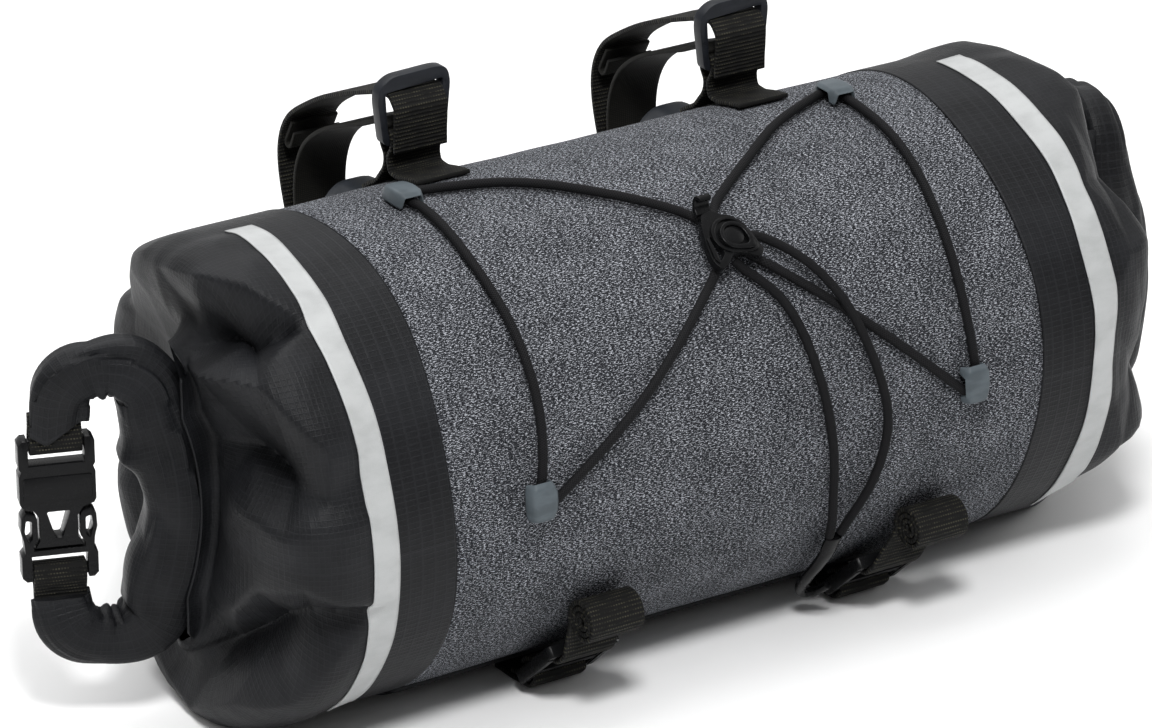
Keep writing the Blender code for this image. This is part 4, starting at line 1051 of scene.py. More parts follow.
def make_panel(name, first, arc, radius, cells, maker, node, wall):
    """A panel from a first angle round an arc of the body, between the seams of the ends."""
    size = (2.0 * PANEL_HALF_LENGTH, math.radians(arc) * radius)

    def place(u, v):
        angle = first + arc * v
        x = seam_x(angle) * (2.0 * u - 1.0)
        point = around(angle, radius - wobble(x, angle), x)
        point.z = max(point.z, 0.0)
        return point

    item = add_piece(name, cloth_grid(*cells, place, size, from_axis), maker, node)
    thicken(item, wall)
    return item, size


def make_front_panel():
    item, size = make_panel(
        "heather_front", PANEL_FIRST_ANGLE, PANEL_LAST_ANGLE - PANEL_FIRST_ANGLE, BODY_RADIUS,
        FRONT_CELLS, heather_cloth, "front_panel", PANEL_WALL)


def make_back_panel():
    gap = math.degrees(SEAM_GAP / BODY_RADIUS)
    first = PANEL_LAST_ANGLE + gap
    item, size = make_panel(
        "coated_underside", first, PANEL_FIRST_ANGLE + 360.0 - gap - first, SOLE_RADIUS,
        BACK_CELLS, coated_cloth, "back_panel", SOLE_WALL)


# Ends


def bar_centre(closure, height):
    """X and Y of the closure's rolled bar at a height over the axis."""
    side, past, turn, against, bulge, lean = closure
    heading = math.radians(turn)
    share = max(-1.0, min(1.0, height / LOOP_BAR_HALF))
    lift = share * LOOP_BAR_HALF / (LOOP_BAR_HALF + LOOP_BEND_RADIUS)
    along = -against * (1.0 - share * share)
    x = past + RIM_X + along * math.cos(heading) + bulge * (1.0 - lift * lift) - lean * share
    return side * x, along * math.sin(abs(heading))


def loop_out(closure):
    """The direction in which the closure's loop stands out."""
    heading = math.radians(closure[2])
    return Vector((closure[0] * math.cos(heading), math.sin(abs(heading)), 0.0))


def neck_x(closure, height, y):
    """X of the face that the end tube's neck keeps against the rolled bar."""
    side = closure[0]
    out = loop_out(closure)
    across = Vector((-out.y, out.x, 0.0))
    x, centre_y = bar_centre(closure, height)
    face, reach = max(
        ((normal, half) for normal, half in (
            (out, BAR_HALF_DEPTH), (-out, BAR_HALF_DEPTH),
            (across, BAR_HALF_THICKNESS), (-across, BAR_HALF_THICKNESS))),
        key=lambda pair: -side * pair[0].x,
    )
    x += (reach + ROLL_GAP - face.y * (y - centre_y)) / face.x
    over = min(abs(height) - LOOP_BAR_HALF, LOOP_BEND_RADIUS + BAR_HALF_DEPTH)
    if over > 0.0:
        outer = LOOP_BEND_RADIUS + BAR_HALF_DEPTH
        x += out.x * (outer - math.sqrt(outer * outer - over * over))
    return x


def station_at(share):
    """Reach, blend, pull and facing of the end tube at a share of the way to the neck."""
    last = len(END_STATIONS) - 1
    place = share * last
    i = min(int(place), last - 1)
    rows = [END_STATIONS[min(last, max(0, k))] for k in (i - 1, i, i + 1, i + 2)]
    return [min(1.0, max(0.0, curve_between(*column, place - i))) for column in zip(*rows)]


def opened_out(angle, distance, depth=0.0):
    """A place on the opened-out end."""
    turn = math.radians(angle)
    return Vector((math.cos(turn) * distance, math.sin(turn) * distance, depth))


def fold_map(creases):
    """A surface over the opened-out end whose height is the depth of the folds."""
    points = [
        opened_out(12.0 * k, distance) for distance in (FOLD_LIMIT, FOLD_MARGIN)
        for k in range(30)]
    points.append(Vector((0.0, 0.0, 0.0)))
    edges = []
    for crease in creases:
        first = len(points)
        points.extend(opened_out(*row) for row in crease)
        edges.extend((k, k + 1) for k in range(first, len(points) - 1))
    flat = [point.xy for point in points]
    verts, _, faces, sources, _, _ = delaunay_2d_cdt(flat, edges, [], 0, 0.00001)
    raised = []
    for spot, source in zip(verts, sources):
        near = points[source[0]] if source else min(points, key=lambda p: (p.xy - spot).length)
        raised.append((spot.x, spot.y, near.z))
    return BVHTree.FromPolygons(raised, faces)


def fold_depth(folds, spot):
    """Depth of the folds at a place on the opened-out end."""
    hit = folds.ray_cast(Vector((spot.x, spot.y, 1.0)), Vector((0.0, 0.0, -1.0)))[0]
    return hit.z if hit else 0.0


def crumple(angle, share, seed):
    """Small wrinkles that run between the seam and the neck."""
    turn = math.radians(angle)
    spot = Vector((math.cos(turn) * 5.2, math.sin(turn) * 5.2, share * 2.4 + seed))
    sharp = 1.0 - abs(noise.noise(spot)) * 2.2
    fine = noise.noise(spot * 2.7)
    return 0.5 - sharp * 0.7 + fine * 0.35


def side_to(out, side):
    """The direction of the loop, or the one across it, that leads away from the body."""
    across = Vector((-out.y, out.x, 0.0))
    return max((out, -out, across, -across), key=lambda item: side * item.x)


def lap_place(closure, height):
    """X and Y of the cloth where it laps over the bar's front, at a height over the axis."""
    out = loop_out(closure)
    away = side_to(out, closure[0])
    front = Vector((out.y, -out.x, 0.0)) * (1.0 if out.x > 0.0 else -1.0)
    shift = front * (BAR_HALF_THICKNESS + LAP_LIFT) - away * BAR_HALF_DEPTH
    shift += away * LAP_REACH
    centre = Vector((*bar_centre(closure, height), 0.0))
    return centre.x + shift.x, centre.y + shift.y


def end_skin(closure, folds, share, angle):
    """A point of the end tube's outer skin."""
    reach, blend, pull, facing = station_at(share)
    side = closure[0]
    turn = math.radians(angle)
    flat, _ = squared(turn, NECK_POWER)
    slot_y = -(NECK_SKIN_FRONT if flat > 0.0 else NECK_SKIN_BACK) * flat
    slot_z = NECK_HALF_HEIGHT * math.sin(turn)
    y = -BODY_RADIUS * math.cos(turn) * (1.0 - blend) + slot_y * blend
    z = BODY_RADIUS * math.sin(turn) * (1.0 - blend) + slot_z * blend
    start = seam_x(angle) + SEAM_GAP
    x = side * (start + (RIM_X - start) * reach)
    x += (neck_x(closure, slot_z, y) - side * RIM_X) * pull
    lap = smooth_share(share, LAP_START, 1.0) * smooth_share(math.cos(turn), *LAP_FRONT)
    if lap > 0.0:
        lap_x, lap_y = lap_place(closure, slot_z)
        x += (lap_x - x) * lap
        y += (lap_y - y) * lap
    spread = math.hypot(y, z) + max(0.0, RIM_X - abs(x)) * (1.0 - pull)
    free = (1.0 - blend ** 3) * min(1.0, share / FOLDS_FULL)
    depth = fold_depth(folds, opened_out(math.degrees(math.atan2(z, -y)), spread)) * free
    wrinkle = settings().wrinkle_depth * min(1.0, share / WRINKLES_FULL)
    depth += wrinkle * crumple(angle, share, 7.0 * side) * free
    x -= side * depth * facing * FOLD_SHIFT_ALONG
    across = 1.0 - FOLD_LOSS_ACROSS * facing
    y += depth * math.cos(turn) * across
    z -= depth * math.sin(turn) * across
    return Vector((x, y, z + AXIS_HEIGHT))


def make_end(name, closure, creases):
    """The end tube's creased cloth, gathered to its neck."""
    folds = fold_map(creases)

    def place(u, v):
        return end_skin(closure, folds, v, 360.0 * u)

    size = (math.tau * BODY_RADIUS, END_CLOTH_LENGTH)
    bm = cloth_grid(*END_CELLS, place, size, from_axis)
    inner = [vert for vert in bm.verts if not vert.is_boundary]
    bmesh.ops.smooth_vert(bm, verts=inner, factor=0.5, use_axis_x=True, use_axis_y=True,
                          use_axis_z=True)
    for vert in bm.verts:
        vert.co.z = max(vert.co.z, 0.0)
    item = add_piece(name + "_cloth", bm, coated_cloth, name)
    thicken(item, settings().cloth_thickness)
    return item


# Rolled closures


def loop_path(closure):
    """Centre points of the rolled closure, from its upper end to its lower end."""
    out = loop_out(closure)
    bend = LOOP_BEND_RADIUS

    def on_bar(share):
        height = LOOP_BAR_HALF * share
        return Vector((*bar_centre(closure, height), AXIS_HEIGHT + height))

    corners = [squared(math.radians(30.0 * i), CORNER_POWER) for i in range(7)]
    upper = [on_bar(1.0) + out * bend * (1.0 + near) + Vector((0.0, 0.0, bend * high))
             for near, high in corners]
    lower = [on_bar(-1.0) + out * bend * (1.0 - near) - Vector((0.0, 0.0, bend * high))
             for near, high in corners]
    return [*upper, *[on_bar(share) for share in (0.6, 0.2, -0.2, -0.6)], *lower]


def roll_section(share):
    """Half depth and half thickness of the roll at a share of its length."""
    end = min(share, 1.0 - share) * 17.0
    swell = smooth_share(end, 2.0, 6.0)
    depth = ARM_HALF_DEPTH + (BAR_HALF_DEPTH - ARM_HALF_DEPTH) * swell
    thick = ARM_HALF_THICKNESS + (BAR_HALF_THICKNESS - ARM_HALF_THICKNESS) * swell
    return depth, thick * (0.62 + 0.38 * smooth_share(end, 0.0, 1.2))


def crimp(share, seed):
    """Depth of the few sharp folds inside the bends of the roll."""
    total = 0.0
    for k, place in enumerate(CRIMP_PLACES):
        place += 0.009 * math.sin(5.0 * k + seed)
        total += (1.0 - 0.15 * k) * math.exp(-abs(share - place) / 0.008)
        total += (0.7 + 0.1 * k) * math.exp(-abs(1.0 - share - place) / 0.008)
    return total


def make_roll(name, closure):
    """The rolled cloth bar, with its flap edge, creases, bent arms and slanted ends."""
    out = loop_out(closure)
    across = Vector((-out.y, out.x, 0.0))
    route = smooth_route(loop_path(closure), ROLL_STEP)
    columns, rows = ROLL_CELLS
    path, length = evenly(route, rows)
    power = 2.0 / ROLL_SQUARENESS
    seed = 11.0 * closure[0]

    def ring_point(u, v):
        i = round(v * rows)
        along = (path[min(i + 1, rows)] - path[max(i - 1, 0)]).normalized()
        if i in (0, rows):
            along = Vector((0.0, 0.0, 1.0))
        normal = along.cross(across).normalized()
        depth, thick = roll_section(v)
        turn = math.tau * u
        a, b = squared(turn, power)
        bend = bump_at(v, 0.17, 0.07) + bump_at(v, 0.83, 0.07)
        inner = max(0.0, a)
        spot = Vector((math.cos(turn) * 1.1, math.sin(turn) * 1.1, v * 7.0 + seed))
        ridge = 1.0 - 2.2 * abs(noise.noise(spot))
        creases = ROLL_CREASE * ridge * (1.0 + bend)
        creases += ROLL_CRIMP * bend * inner * crimp(v, seed)
        creases += inner * (ROLL_BULGE * bump_at(v, 0.52, 0.07)
                            - ROLL_DENT * bump_at(v, 0.385, 0.03))
        flap = (u + FLAP_TURN + 0.10 * math.sin(v * 5.0)) % 1.0
        layer = FLAP_THICKNESS * (flap - 0.5)
        reach = 1.0 - (creases - layer) / thick
        return path[i] + normal * depth * a * reach + across * thick * b * reach

    def place(u, v):
        point = ring_point(u, v)
        tip = max(0.0, 1.0 - min(v, 1.0 - v) * 16.0)
        if tip > 0.0 and (v < 0.5 or closure[0] > 0.0):
            i = round(v * rows)
            share = (point - path[i]).dot(out) / ARM_HALF_DEPTH
            drop = tip * tip * (0.0010 + TIP_DROP * max(0.0, 1.0 - 0.9 * abs(share - 0.30)))
            point.z += drop if v > 0.5 else -drop
        return point

    bm = cloth_grid(columns, rows, place, (ROLL_GIRTH, length))
    rims = [edge for edge in bm.edges if edge.is_boundary]
    bmesh.ops.holes_fill(bm, edges=rims, sides=0)
    bmesh.ops.recalc_face_normals(bm, faces=bm.faces)
    item = add_piece(name + "_cloth", bm, coated_cloth, name, 50.0)


def surface_of(item):
    """A search tree of an object's own mesh."""
    bm = bmesh.new()
    bm.from_mesh(item.data)
    tree = BVHTree.FromBMesh(bm)
    bm.free()
    return tree


def make_tape(name, side, cloth, node):
    """A reflective strip that follows the cloth under it."""
    tree = surface_of(cloth)
    centre = PANEL_HALF_LENGTH + END_REACH * STRIP_SHARE
    arc = STRIP_LAST_ANGLE - STRIP_FIRST_ANGLE
    size = (STRIP_WIDTH, math.radians(arc) * BODY_RADIUS)

    def place(u, v):
        angle = STRIP_FIRST_ANGLE + arc * v
        wander = 0.0012 * math.sin(math.radians(3.0 * angle))
        wander += 0.0016 * noise.noise(Vector((angle * 0.05, side, 0.0)))
        x = side * (centre + wander + (u - 0.5) * STRIP_WIDTH)
        axis = Vector((x, 0.0, AXIS_HEIGHT))
        away = (around(angle, 1.0, x) - axis).normalized()
        hit = tree.ray_cast(axis + away * 0.05, away, 0.08)[0]
        if hit is None:
            raise RuntimeError("the strip misses the cloth at " + name)
        return hit + away * STRIP_LIFT

    bm = cloth_grid(*STRIP_CELLS, place, size, from_axis)
    item = add_piece(name, bm, reflective_tape, node, 30.0)
    thicken(item, STRIP_THICKNESS)


# Buckles


def buckle_frame(closure):
    """A frame in the middle of the buckle: right across its width, up along its length."""
    path = loop_path(closure)
    up = (path[0] - path[-1]).normalized()
    out = loop_out(closure)
    right = (out - up * out.dot(up)).normalized()
    return frame_matrix((path[0] + path[-1]) / 2.0, right, up), (path[0] - path[-1]).length


def buckle_bar(half, first, second, matrix):
    """The bar that the webbing folds round, between two heights."""
    return plate([(half, first), (-half, first), (-half, second), (half, second)], [],
                 -BUCKLE_BAR_THICKNESS / 2, BUCKLE_BAR_THICKNESS / 2, matrix, 0.0007)


def make_buckle(name, closure):
    """The buckle's socket with its lips, and its tongue with open prongs."""
    matrix, _ = buckle_frame(closure)
    w = BUCKLE_WIDTH / 2.0
    top = BUCKLE_LENGTH / 2.0
    half = w - BUCKLE_RAIL
    near = top - BUCKLE_BAR - BUCKLE_SLOT
    t = BUCKLE_THICKNESS / 2.0
    upper = mirrored([
        (0.62 * w, -0.52 * top), (0.50 * w, -0.42 * top), (0.50 * w, -0.10 * top),
        (0.66 * w, 0.02 * top), (0.94 * w, 0.06 * top), (w, 0.12 * top), (w, near - 0.14 * top),
        (0.95 * w, near - 0.09 * top), (0.95 * w, near - 0.06 * top), (w, near - 0.02 * top),
        (w, top - 0.0016), (w - 0.0016, top), (half, top), (half, near)])
    window = soft_corners(
        [(-0.31 * w, -0.02 * top), (-0.09 * w, -0.40 * top), (0.09 * w, -0.40 * top),
         (0.31 * w, -0.02 * top)], 0.0008)
    body = plate(upper, [window], -t * 0.9, t * 0.9, matrix, 0.0007)
    block = plate(
        soft_corners(mirrored([(0.90 * w, 0.13 * top), (0.90 * w, near - 0.16 * top)]), 0.0012),
        [], -t, t, matrix, 0.0006)
    bar = buckle_bar(half + 0.001, top - 0.0006, top - BUCKLE_BAR - 0.0006, matrix)
    lips = [
        plate(soft_corners([(s * 0.43 * w, -0.04 * top), (s * 0.36 * w, -0.04 * top),
                            (s * 0.13 * w, -0.44 * top), (s * 0.20 * w, -0.46 * top)], 0.0004),
              [], t * 0.85, t * 1.0, matrix, 0.0002) for s in (1.0, -1.0)]
    add_piece(name + "_socket_moulding", joined(body, block, bar, *lips), gloss_moulding,
              name + "_buckle_socket", 35.0)
    arm = 0.62 * w + 0.0008
    lower = mirrored([
        (half, -near), (half, -top), (w - 0.0016, -top), (w, -top + 0.0016), (w, -near - 0.0002),
        (0.90 * w, -near + 0.05 * top), (0.93 * w, -0.42 * top), (1.00 * w, -0.28 * top),
        (0.98 * w, -0.10 * top), (0.86 * w, -0.01 * top), (0.62 * w, -0.05 * top),
        (0.56 * w, -0.12 * top), (0.56 * w, -0.40 * top), (arm, -0.50 * top),
        (arm, -near + 0.0022)])
    eyes = [soft_corners([(s * 0.70 * w, -0.14 * top), (s * 0.86 * w, -0.12 * top),
                          (s * 0.90 * w, -0.28 * top), (s * 0.82 * w, -0.44 * top),
                          (s * 0.70 * w, -0.40 * top)], 0.0008) for s in (1.0, -1.0)]
    arms = plate(lower, eyes, -t * 0.86, t * 0.86, matrix, 0.0006)
    bar = buckle_bar(half + 0.001, 0.0006 - top, BUCKLE_BAR + 0.0006 - top, matrix)
    add_piece(name + "_tongue_moulding", joined(arms, bar), gloss_moulding,
              name + "_buckle_tongue", 35.0)


def make_buckle_tab(name, closure, end, node):
    """Webbing folded round a buckle's bar and led to the arm of the closure."""
    matrix, length = buckle_frame(closure)
    up = axis_of(matrix, 1)
    width = BUCKLE_WIDTH - 2.0 * BUCKLE_RAIL - 0.0012
    start = length / 2.0 + 0.0020
    top = BUCKLE_LENGTH / 2.0 - 0.0006
    apart = BUCKLE_BAR_THICKNESS / 2.0 + FIT_GAP + TAB_THICKNESS / 2.0
    close = TAB_THICKNESS / 2.0 + FIT_GAP / 2.0
    fold = top - BUCKLE_BAR - FIT_GAP - TAB_THICKNESS / 2.0
    half = [(close, start), (close, top + (start - top) * 0.55), (apart, top), (apart, fold)]
    points = half + [(-a, b) for a, b in reversed(half)]
    normal = axis_of(matrix, 2)
    turned = frame_matrix(matrix.translation, normal if end > 0.0 else -normal, up * end)
    band(name, points, width, TAB_THICKNESS, turned, ribbed_webbing, node, bend=0.0010)


# Elastic cord


def cord_radius():
    """Distance of a cord's middle from the body's axis."""
    return BODY_RADIUS + CORD_RADIUS + CORD_SURFACE_GAP


def cord_flat(share, angle, lift=0.0):
    """A cord's point on the unrolled body: along X, round the body, lift off it."""
    x = share * GUIDE_X_SHARE * PANEL_HALF_LENGTH
    return Vector((x, math.radians(angle) * cord_radius(), lift))


def cord_wrapped(point):
    """The place in space of a point on the unrolled body."""
    return around(math.degrees(point.y / cord_radius()), cord_radius() + point.z, point.x)


def guide_turn(side, angle, sign):
    """The bend of a cord inside a guide; sign is 1 for the upper guide and -1 for the lower."""
    across = GUIDE_HALF_WIDTH / (GUIDE_X_SHARE * PANEL_HALF_LENGTH)
    reach = math.degrees(GUIDE_HALF_LENGTH / BODY_RADIUS)
    return [
        (side * (1.0 - 0.42 * across), angle + sign * 0.42 * reach),
        (side * (1.0 + 0.14 * across), angle + sign * 0.40 * reach),
        (side * (1.0 + 0.36 * across), angle + sign * 0.05 * reach),
    ]


def make_cord(name, route, step, node):
    """A round cord on a smooth curve through the points of its route on the body."""
    points = [cord_wrapped(point) for point in smooth_route(route, step)]
    curve = bpy.data.curves.new(name, "CURVE")
    curve.dimensions = "3D"
    curve.bevel_depth = CORD_RADIUS
    curve.bevel_resolution = 4
    curve.use_fill_caps = True
    spline = curve.splines.new("POLY")
    spline.points.add(len(points) - 1)
    for place, point in zip(spline.points, points):
        place.co = (*point, 1.0)
    spline.use_smooth = True
    curve.materials.append(made(braided_elastic))
    item = bpy.data.objects.new(name, curve)
    return enlist(item, node), points


def path_length(points):
    """Length of the line through the points."""
    return sum((second - first).length for first, second in zip(points, points[1:]))


def make_cord_loop(name, side, first, second, third, node):
    """A loop of cord from the lock through both guides of a side and back."""
    upper = guide_turn(side, GUIDE_TOP_ANGLE, 1.0)
    lower = guide_turn(side, GUIDE_BOTTOM_ANGLE, -1.0)
    rows = [*first[:-1], *upper, *second, *reversed(lower), *third[1:]]
    make_cord(name, [cord_flat(share, angle) for share, angle in rows], CORD_LOOP_STEP, node)


def make_cord_tail(name, rows, node):
    """A free end of the cord, from the lock down to the hook."""
    item, points = make_cord(name, [cord_flat(*row) for row in rows], CORD_TAIL_STEP, node)
    path_length(points)


def make_end_hook(name):
    """The moulded hook that gathers the two cord ends."""
    flat = [Vector((*cord_flat(*row[:3]), row[3])) for row in HOOK_ROUTE]
    route = smooth_route(flat, HOOK_STEP)
    points = [cord_wrapped(point.to_3d()) for point in route]
    sizes = []
    for i, point in enumerate(route):
        tip = math.sqrt(max(0.0, 1.0 - (max(0, i - len(route) + 4) / 3.4) ** 2))
        wide = CORD_RADIUS * point.w * tip
        sizes.append((wide, CORD_RADIUS * min(1.15, point.w) * tip))
    bm = tube_through(points, sizes, 20)
    round_sharp(bm, 50.0, 0.0005, 3)
    return add_piece(name, bm, gloss_moulding, "cord_end_hook")


# Guides and lock


def make_guide(name, side, angle, sign, node):
    """A rounded hood over the cord's bend, raised at the two mouths that the cord goes in by."""
    x = side * GUIDE_X_SHARE * PANEL_HALF_LENGTH
    floor = BODY_RADIUS + 0.0001
    ceiling = BODY_RADIUS + CORD_SURFACE_GAP + 2.0 * CORD_RADIUS + FIT_GAP
    top = ceiling + GUIDE_ROOF

    def place(a, b, radius, upper):
        drop = max(0.0, radius - GUIDE_CROWN) / (1.0 - GUIDE_CROWN)
        narrow = 1.0 - GUIDE_TAPER * max(0.0, b)
        if upper:
            height = top - (top - floor) * (1.0 - math.sqrt(max(0.0, 1.0 - 0.98 * drop * drop)))
            height -= GUIDE_SLOPE * max(0.0, b)
            size = 1.0
        else:
            height = ceiling - (ceiling - floor) * (1.0 - math.sqrt(max(0.0, 1.0 - drop * drop)))
            size = GUIDE_HOLLOW
        mouth = (b < -0.25 and abs(a) < 0.62) or (a < -0.25 and abs(b) < 0.55)
        if mouth and drop > 0.0:
            height = max(height, ceiling + (GUIDE_MOUTH_RIM if upper else 0.0))
        across = GUIDE_HALF_WIDTH * a * narrow * size
        along = GUIDE_HALF_LENGTH * b * size
        return around(angle + sign * math.degrees(along / BODY_RADIUS), height, x + side * across)

    bm = pillow(16, 20, 5, place)
    item = add_piece(name, bm, guide_moulding, node, 60.0)
    smooth = item.modifiers.new("Smooth", "SUBSURF")
    smooth.levels = 1
    smooth.render_levels = 1


def lock_x():
    """X of the lock's middle."""
    return LOCK_X_SHARE * PANEL_HALF_LENGTH


def lock_height():
    """Radius of the cord lock's lower face, above the cords that it holds."""
    return BODY_RADIUS + CORD_SURFACE_GAP + 2.0 * CORD_RADIUS + LOCK_LIFT


def make_lock():
    """The lock's body with its collar, its button, and the hook beyond its top."""
    w = LOCK_HALF_WIDTH
    h = LOCK_HALF_LENGTH
    t = LOCK_THICKNESS
    matrix = body_frame(lock_x(), LOCK_ANGLE, lock_height())
    outline = soft_corners([
        (-0.50 * w, 0.96 * h), (-0.72 * w, 0.55 * h), (-0.86 * w, 0.00 * h), (-0.94 * w, -0.62 * h),
        (-0.74 * w, -1.00 * h), (-0.42 * w, -0.88 * h), (-0.04 * w, -0.56 * h),
        (0.48 * w, -0.62 * h), (0.92 * w, -0.88 * h), (1.20 * w, -0.66 * h), (1.04 * w, -0.12 * h),
        (0.88 * w, 0.34 * h), (0.58 * w, 0.68 * h), (0.10 * w, 0.84 * h), (-0.08 * w, 1.00 * h)],
        0.0018)
    window = soft_corners([
        (-0.62 * w, 0.18 * h), (-0.76 * w, -0.50 * h), (-0.60 * w, -0.70 * h),
        (-0.32 * w, -0.46 * h), (-0.46 * w, 0.06 * h)], 0.0010)
    body = plate(outline, [window], 0.0, t, matrix, 0.0009, 3)
    ridge = plate(
        soft_corners([(-0.80 * w, 0.10 * h), (-0.86 * w, -0.60 * h), (-0.74 * w, -0.80 * h),
                      (-0.68 * w, -0.60 * h), (-0.70 * w, 0.10 * h)], 0.0006),
        [], t * 0.9, t * 1.22, matrix, 0.0003)
    collar = plate(
        teardrop(0.18 * w, 0.06 * h, 0.74 * w, 0.62 * h, 0.5),
        [teardrop(0.20 * w, 0.06 * h, 0.60 * w, 0.50 * h, 0.4)], t * 0.9, t * 1.24, matrix, 0.0003)
    add_piece("cord_lock_body", joined(body, ridge, collar), gloss_moulding, "cord_lock", 40.0)
    centre = (0.24 * w, -0.02 * h)
    r = LOCK_BUTTON_RADIUS
    rim = plate(teardrop(*centre, r, r * 0.96, 0.55), [teardrop(*centre, r * 0.74, r * 0.70, 0.4)],
                t + FIT_GAP, t + FIT_GAP + LOCK_BUTTON_HEIGHT, matrix, 0.0004, 3)
    disc = plate(oval(*centre, r * 0.72, r * 0.68, 28), [], t + FIT_GAP,
                 t + FIT_GAP + LOCK_BUTTON_HEIGHT * 0.5, matrix, 0.0003)
    add_piece("cord_lock_thumb_button", joined(rim, disc), gloss_moulding, "cord_lock_button",
              40.0)
    make_lock_hook(matrix)


def teardrop(x, y, across, along, tail):
    """A round outline drawn out to the lower right."""
    points = []
    for px, py in oval(0.0, 0.0, 1.0, 1.0, 32):
        pull = max(0.0, (px - py) / math.sqrt(2.0)) ** 6 * tail
        points.append((x + across * (px + pull * 0.75), y + along * (py - pull * 0.75)))
    return points


def make_lock_hook(matrix):
    """A curled tab that the front cords pass behind."""
    up = axis_of(matrix, 1)
    normal = axis_of(matrix, 2)
    centre = matrix @ Vector((-0.28 * LOCK_HALF_WIDTH, LOCK_HALF_LENGTH + FIT_GAP, 0.0))
    turned = frame_matrix(centre, up, normal)
    reach = 0.52 * LOCK_HALF_LENGTH
    route = smooth_route([
        (-0.0006, LOCK_THICKNESS * 0.40), (0.35 * reach, LOCK_THICKNESS * 0.48),
        (0.64 * reach, LOCK_THICKNESS * 0.90), (0.78 * reach, LOCK_THICKNESS * 1.45),
        (0.62 * reach, LOCK_THICKNESS * 1.85), (0.40 * reach, LOCK_THICKNESS * 1.86)], 0.0006)
    wide = 0.66 * LOCK_HALF_WIDTH

    def place(u, v):
        i = round(v * (len(route) - 1))
        tip = 1.0 - 0.30 * v * v
        return turned @ Vector((*route[i], (u - 0.5) * wide * tip))

    bm = cloth_grid(8, len(route) - 1, place, (wide, 0.01))
    item = add_piece("cord_lock_curled_tab", bm, gloss_moulding, "cord_lock_hook", 60.0)
    thicken(item, LOCK_TAB_THICKNESS, 0.0)
    round_edges(item, 0.0005, 3)


# Handlebar straps


def ring_sizes():
    """Y of the ring's middle, and heights over the axis of its base and inner edges."""
    y = RING_Y_SHARE * BODY_RADIUS
    base = BODY_RADIUS + RING_LIFT
    return y, base, base + RING_BAR, base + RING_HEIGHT - RING_BAR


def make_ring(name, x, node):
    """The open ring's four bars, heavier at the top, with bevelled faces."""
    y, base, low, high = ring_sizes()
    w = RING_WIDTH / 2.0
    top = base + RING_HEIGHT
    outline = soft_corners([
        (-0.86 * w, base), (0.86 * w, base), (w, top - 0.006), (0.90 * w, top - 0.001),
        (0.62 * w, top), (-0.62 * w, top - 0.0006), (-0.94 * w, top - 0.004),
        (-w, top - 0.009)], 0.0030)
    narrow = w - RING_RAIL
    window = soft_corners([
        (-0.92 * narrow, low), (0.92 * narrow, low), (narrow, high - 0.0008),
        (-narrow, high - 0.0024)], 0.0014)
    origin = Vector((x, y, AXIS_HEIGHT))
    matrix = frame_matrix(origin, Vector((1.0, 0.0, 0.0)), Vector((0.0, 0.0, 1.0)))
    half = RING_DEPTH / 2.0
    bm = plate(outline, [window], -half, half, matrix, 0.0012, 3)
    add_piece(name, bm, ring_moulding, node, 40.0)


def beside(angle, radius):
    """The point round the body's axis in a plane across the body."""
    point = around(angle, radius)
    return point.y, point.z - AXIS_HEIGHT


def handlebar_route(rows):
    """A smooth course of a handlebar strap, in metres."""
    return smooth_route([(a * BODY_RADIUS, b * BODY_RADIUS) for a, b in rows], STRAP_STEP)


def make_ring_loop(name, x, node):
    """Webbing round the ring's lower bar, with two feet on the body."""
    y, base, low, _ = ring_sizes()
    half = WEBBING_THICKNESS / 2.0
    wide = RING_DEPTH / 2.0 + FIT_GAP + half
    close = half + FIT_GAP / 2.0
    ride = BODY_RADIUS + FIT_GAP + half + 0.0002
    middle = math.degrees(math.asin(y / BODY_RADIUS)) + 90.0
    foot = [beside(middle - angle, ride) for angle in (15.0, 10.0, 5.5)]
    back = [beside(middle + angle, ride) for angle in (5.0, 9.0, 12.0)]
    rise = math.sqrt(ride * ride - y * y)
    front = [
        (y - close - 0.0012, rise + 0.0030), (y - close, rise + 0.0060),
        (y - close, base - 0.0042), (y - wide, base - 0.0004), (y - wide, low + FIT_GAP + half)]
    rear = [(2.0 * y - a, b) for a, b in reversed(front)]
    strap(name, [*foot, *front, *rear, *back], x, node)


def make_outer_strap(name, x, node):
    """The strap from the body's back, over the handlebar and through the ring."""
    y, base, low, high = ring_sizes()
    half = WEBBING_THICKNESS / 2.0
    start = SOLE_RADIUS + FIT_GAP + half
    root = [beside(angle, start) for angle in (178.0, 172.0)]
    layer = y - RING_DEPTH / 2.0 - FIT_GAP - half
    tail = layer - WEBBING_THICKNESS - 2.0 * FIT_GAP
    through = high - 0.0034
    points = [
        *root, *handlebar_route(OUTER_STRAP_ROUTE), (y + 0.0015, through),
        (y - RING_DEPTH / 2.0 - 0.0004, through - 0.0002),
        (tail - 0.0006, through - 0.0042), (tail - 0.0004, through - 0.0110),
        (tail, low - 0.0005), (tail, base - 0.0020)]
    strap(name, points, x, node)


def make_inner_strap(name, x, node):
    """The strap from the ring's lower bar to the body's back, inside the outer one."""
    y, _, low, _ = ring_sizes()
    over = low + 2.0 * FIT_GAP + 1.5 * WEBBING_THICKNESS
    clear = y + RING_DEPTH / 2.0 + 2.0 * WEBBING_THICKNESS
    points = [(y - 0.001, over), (clear, over), *handlebar_route(INNER_STRAP_ROUTE)]
    strap(name, points, x, node, flat_webbing)


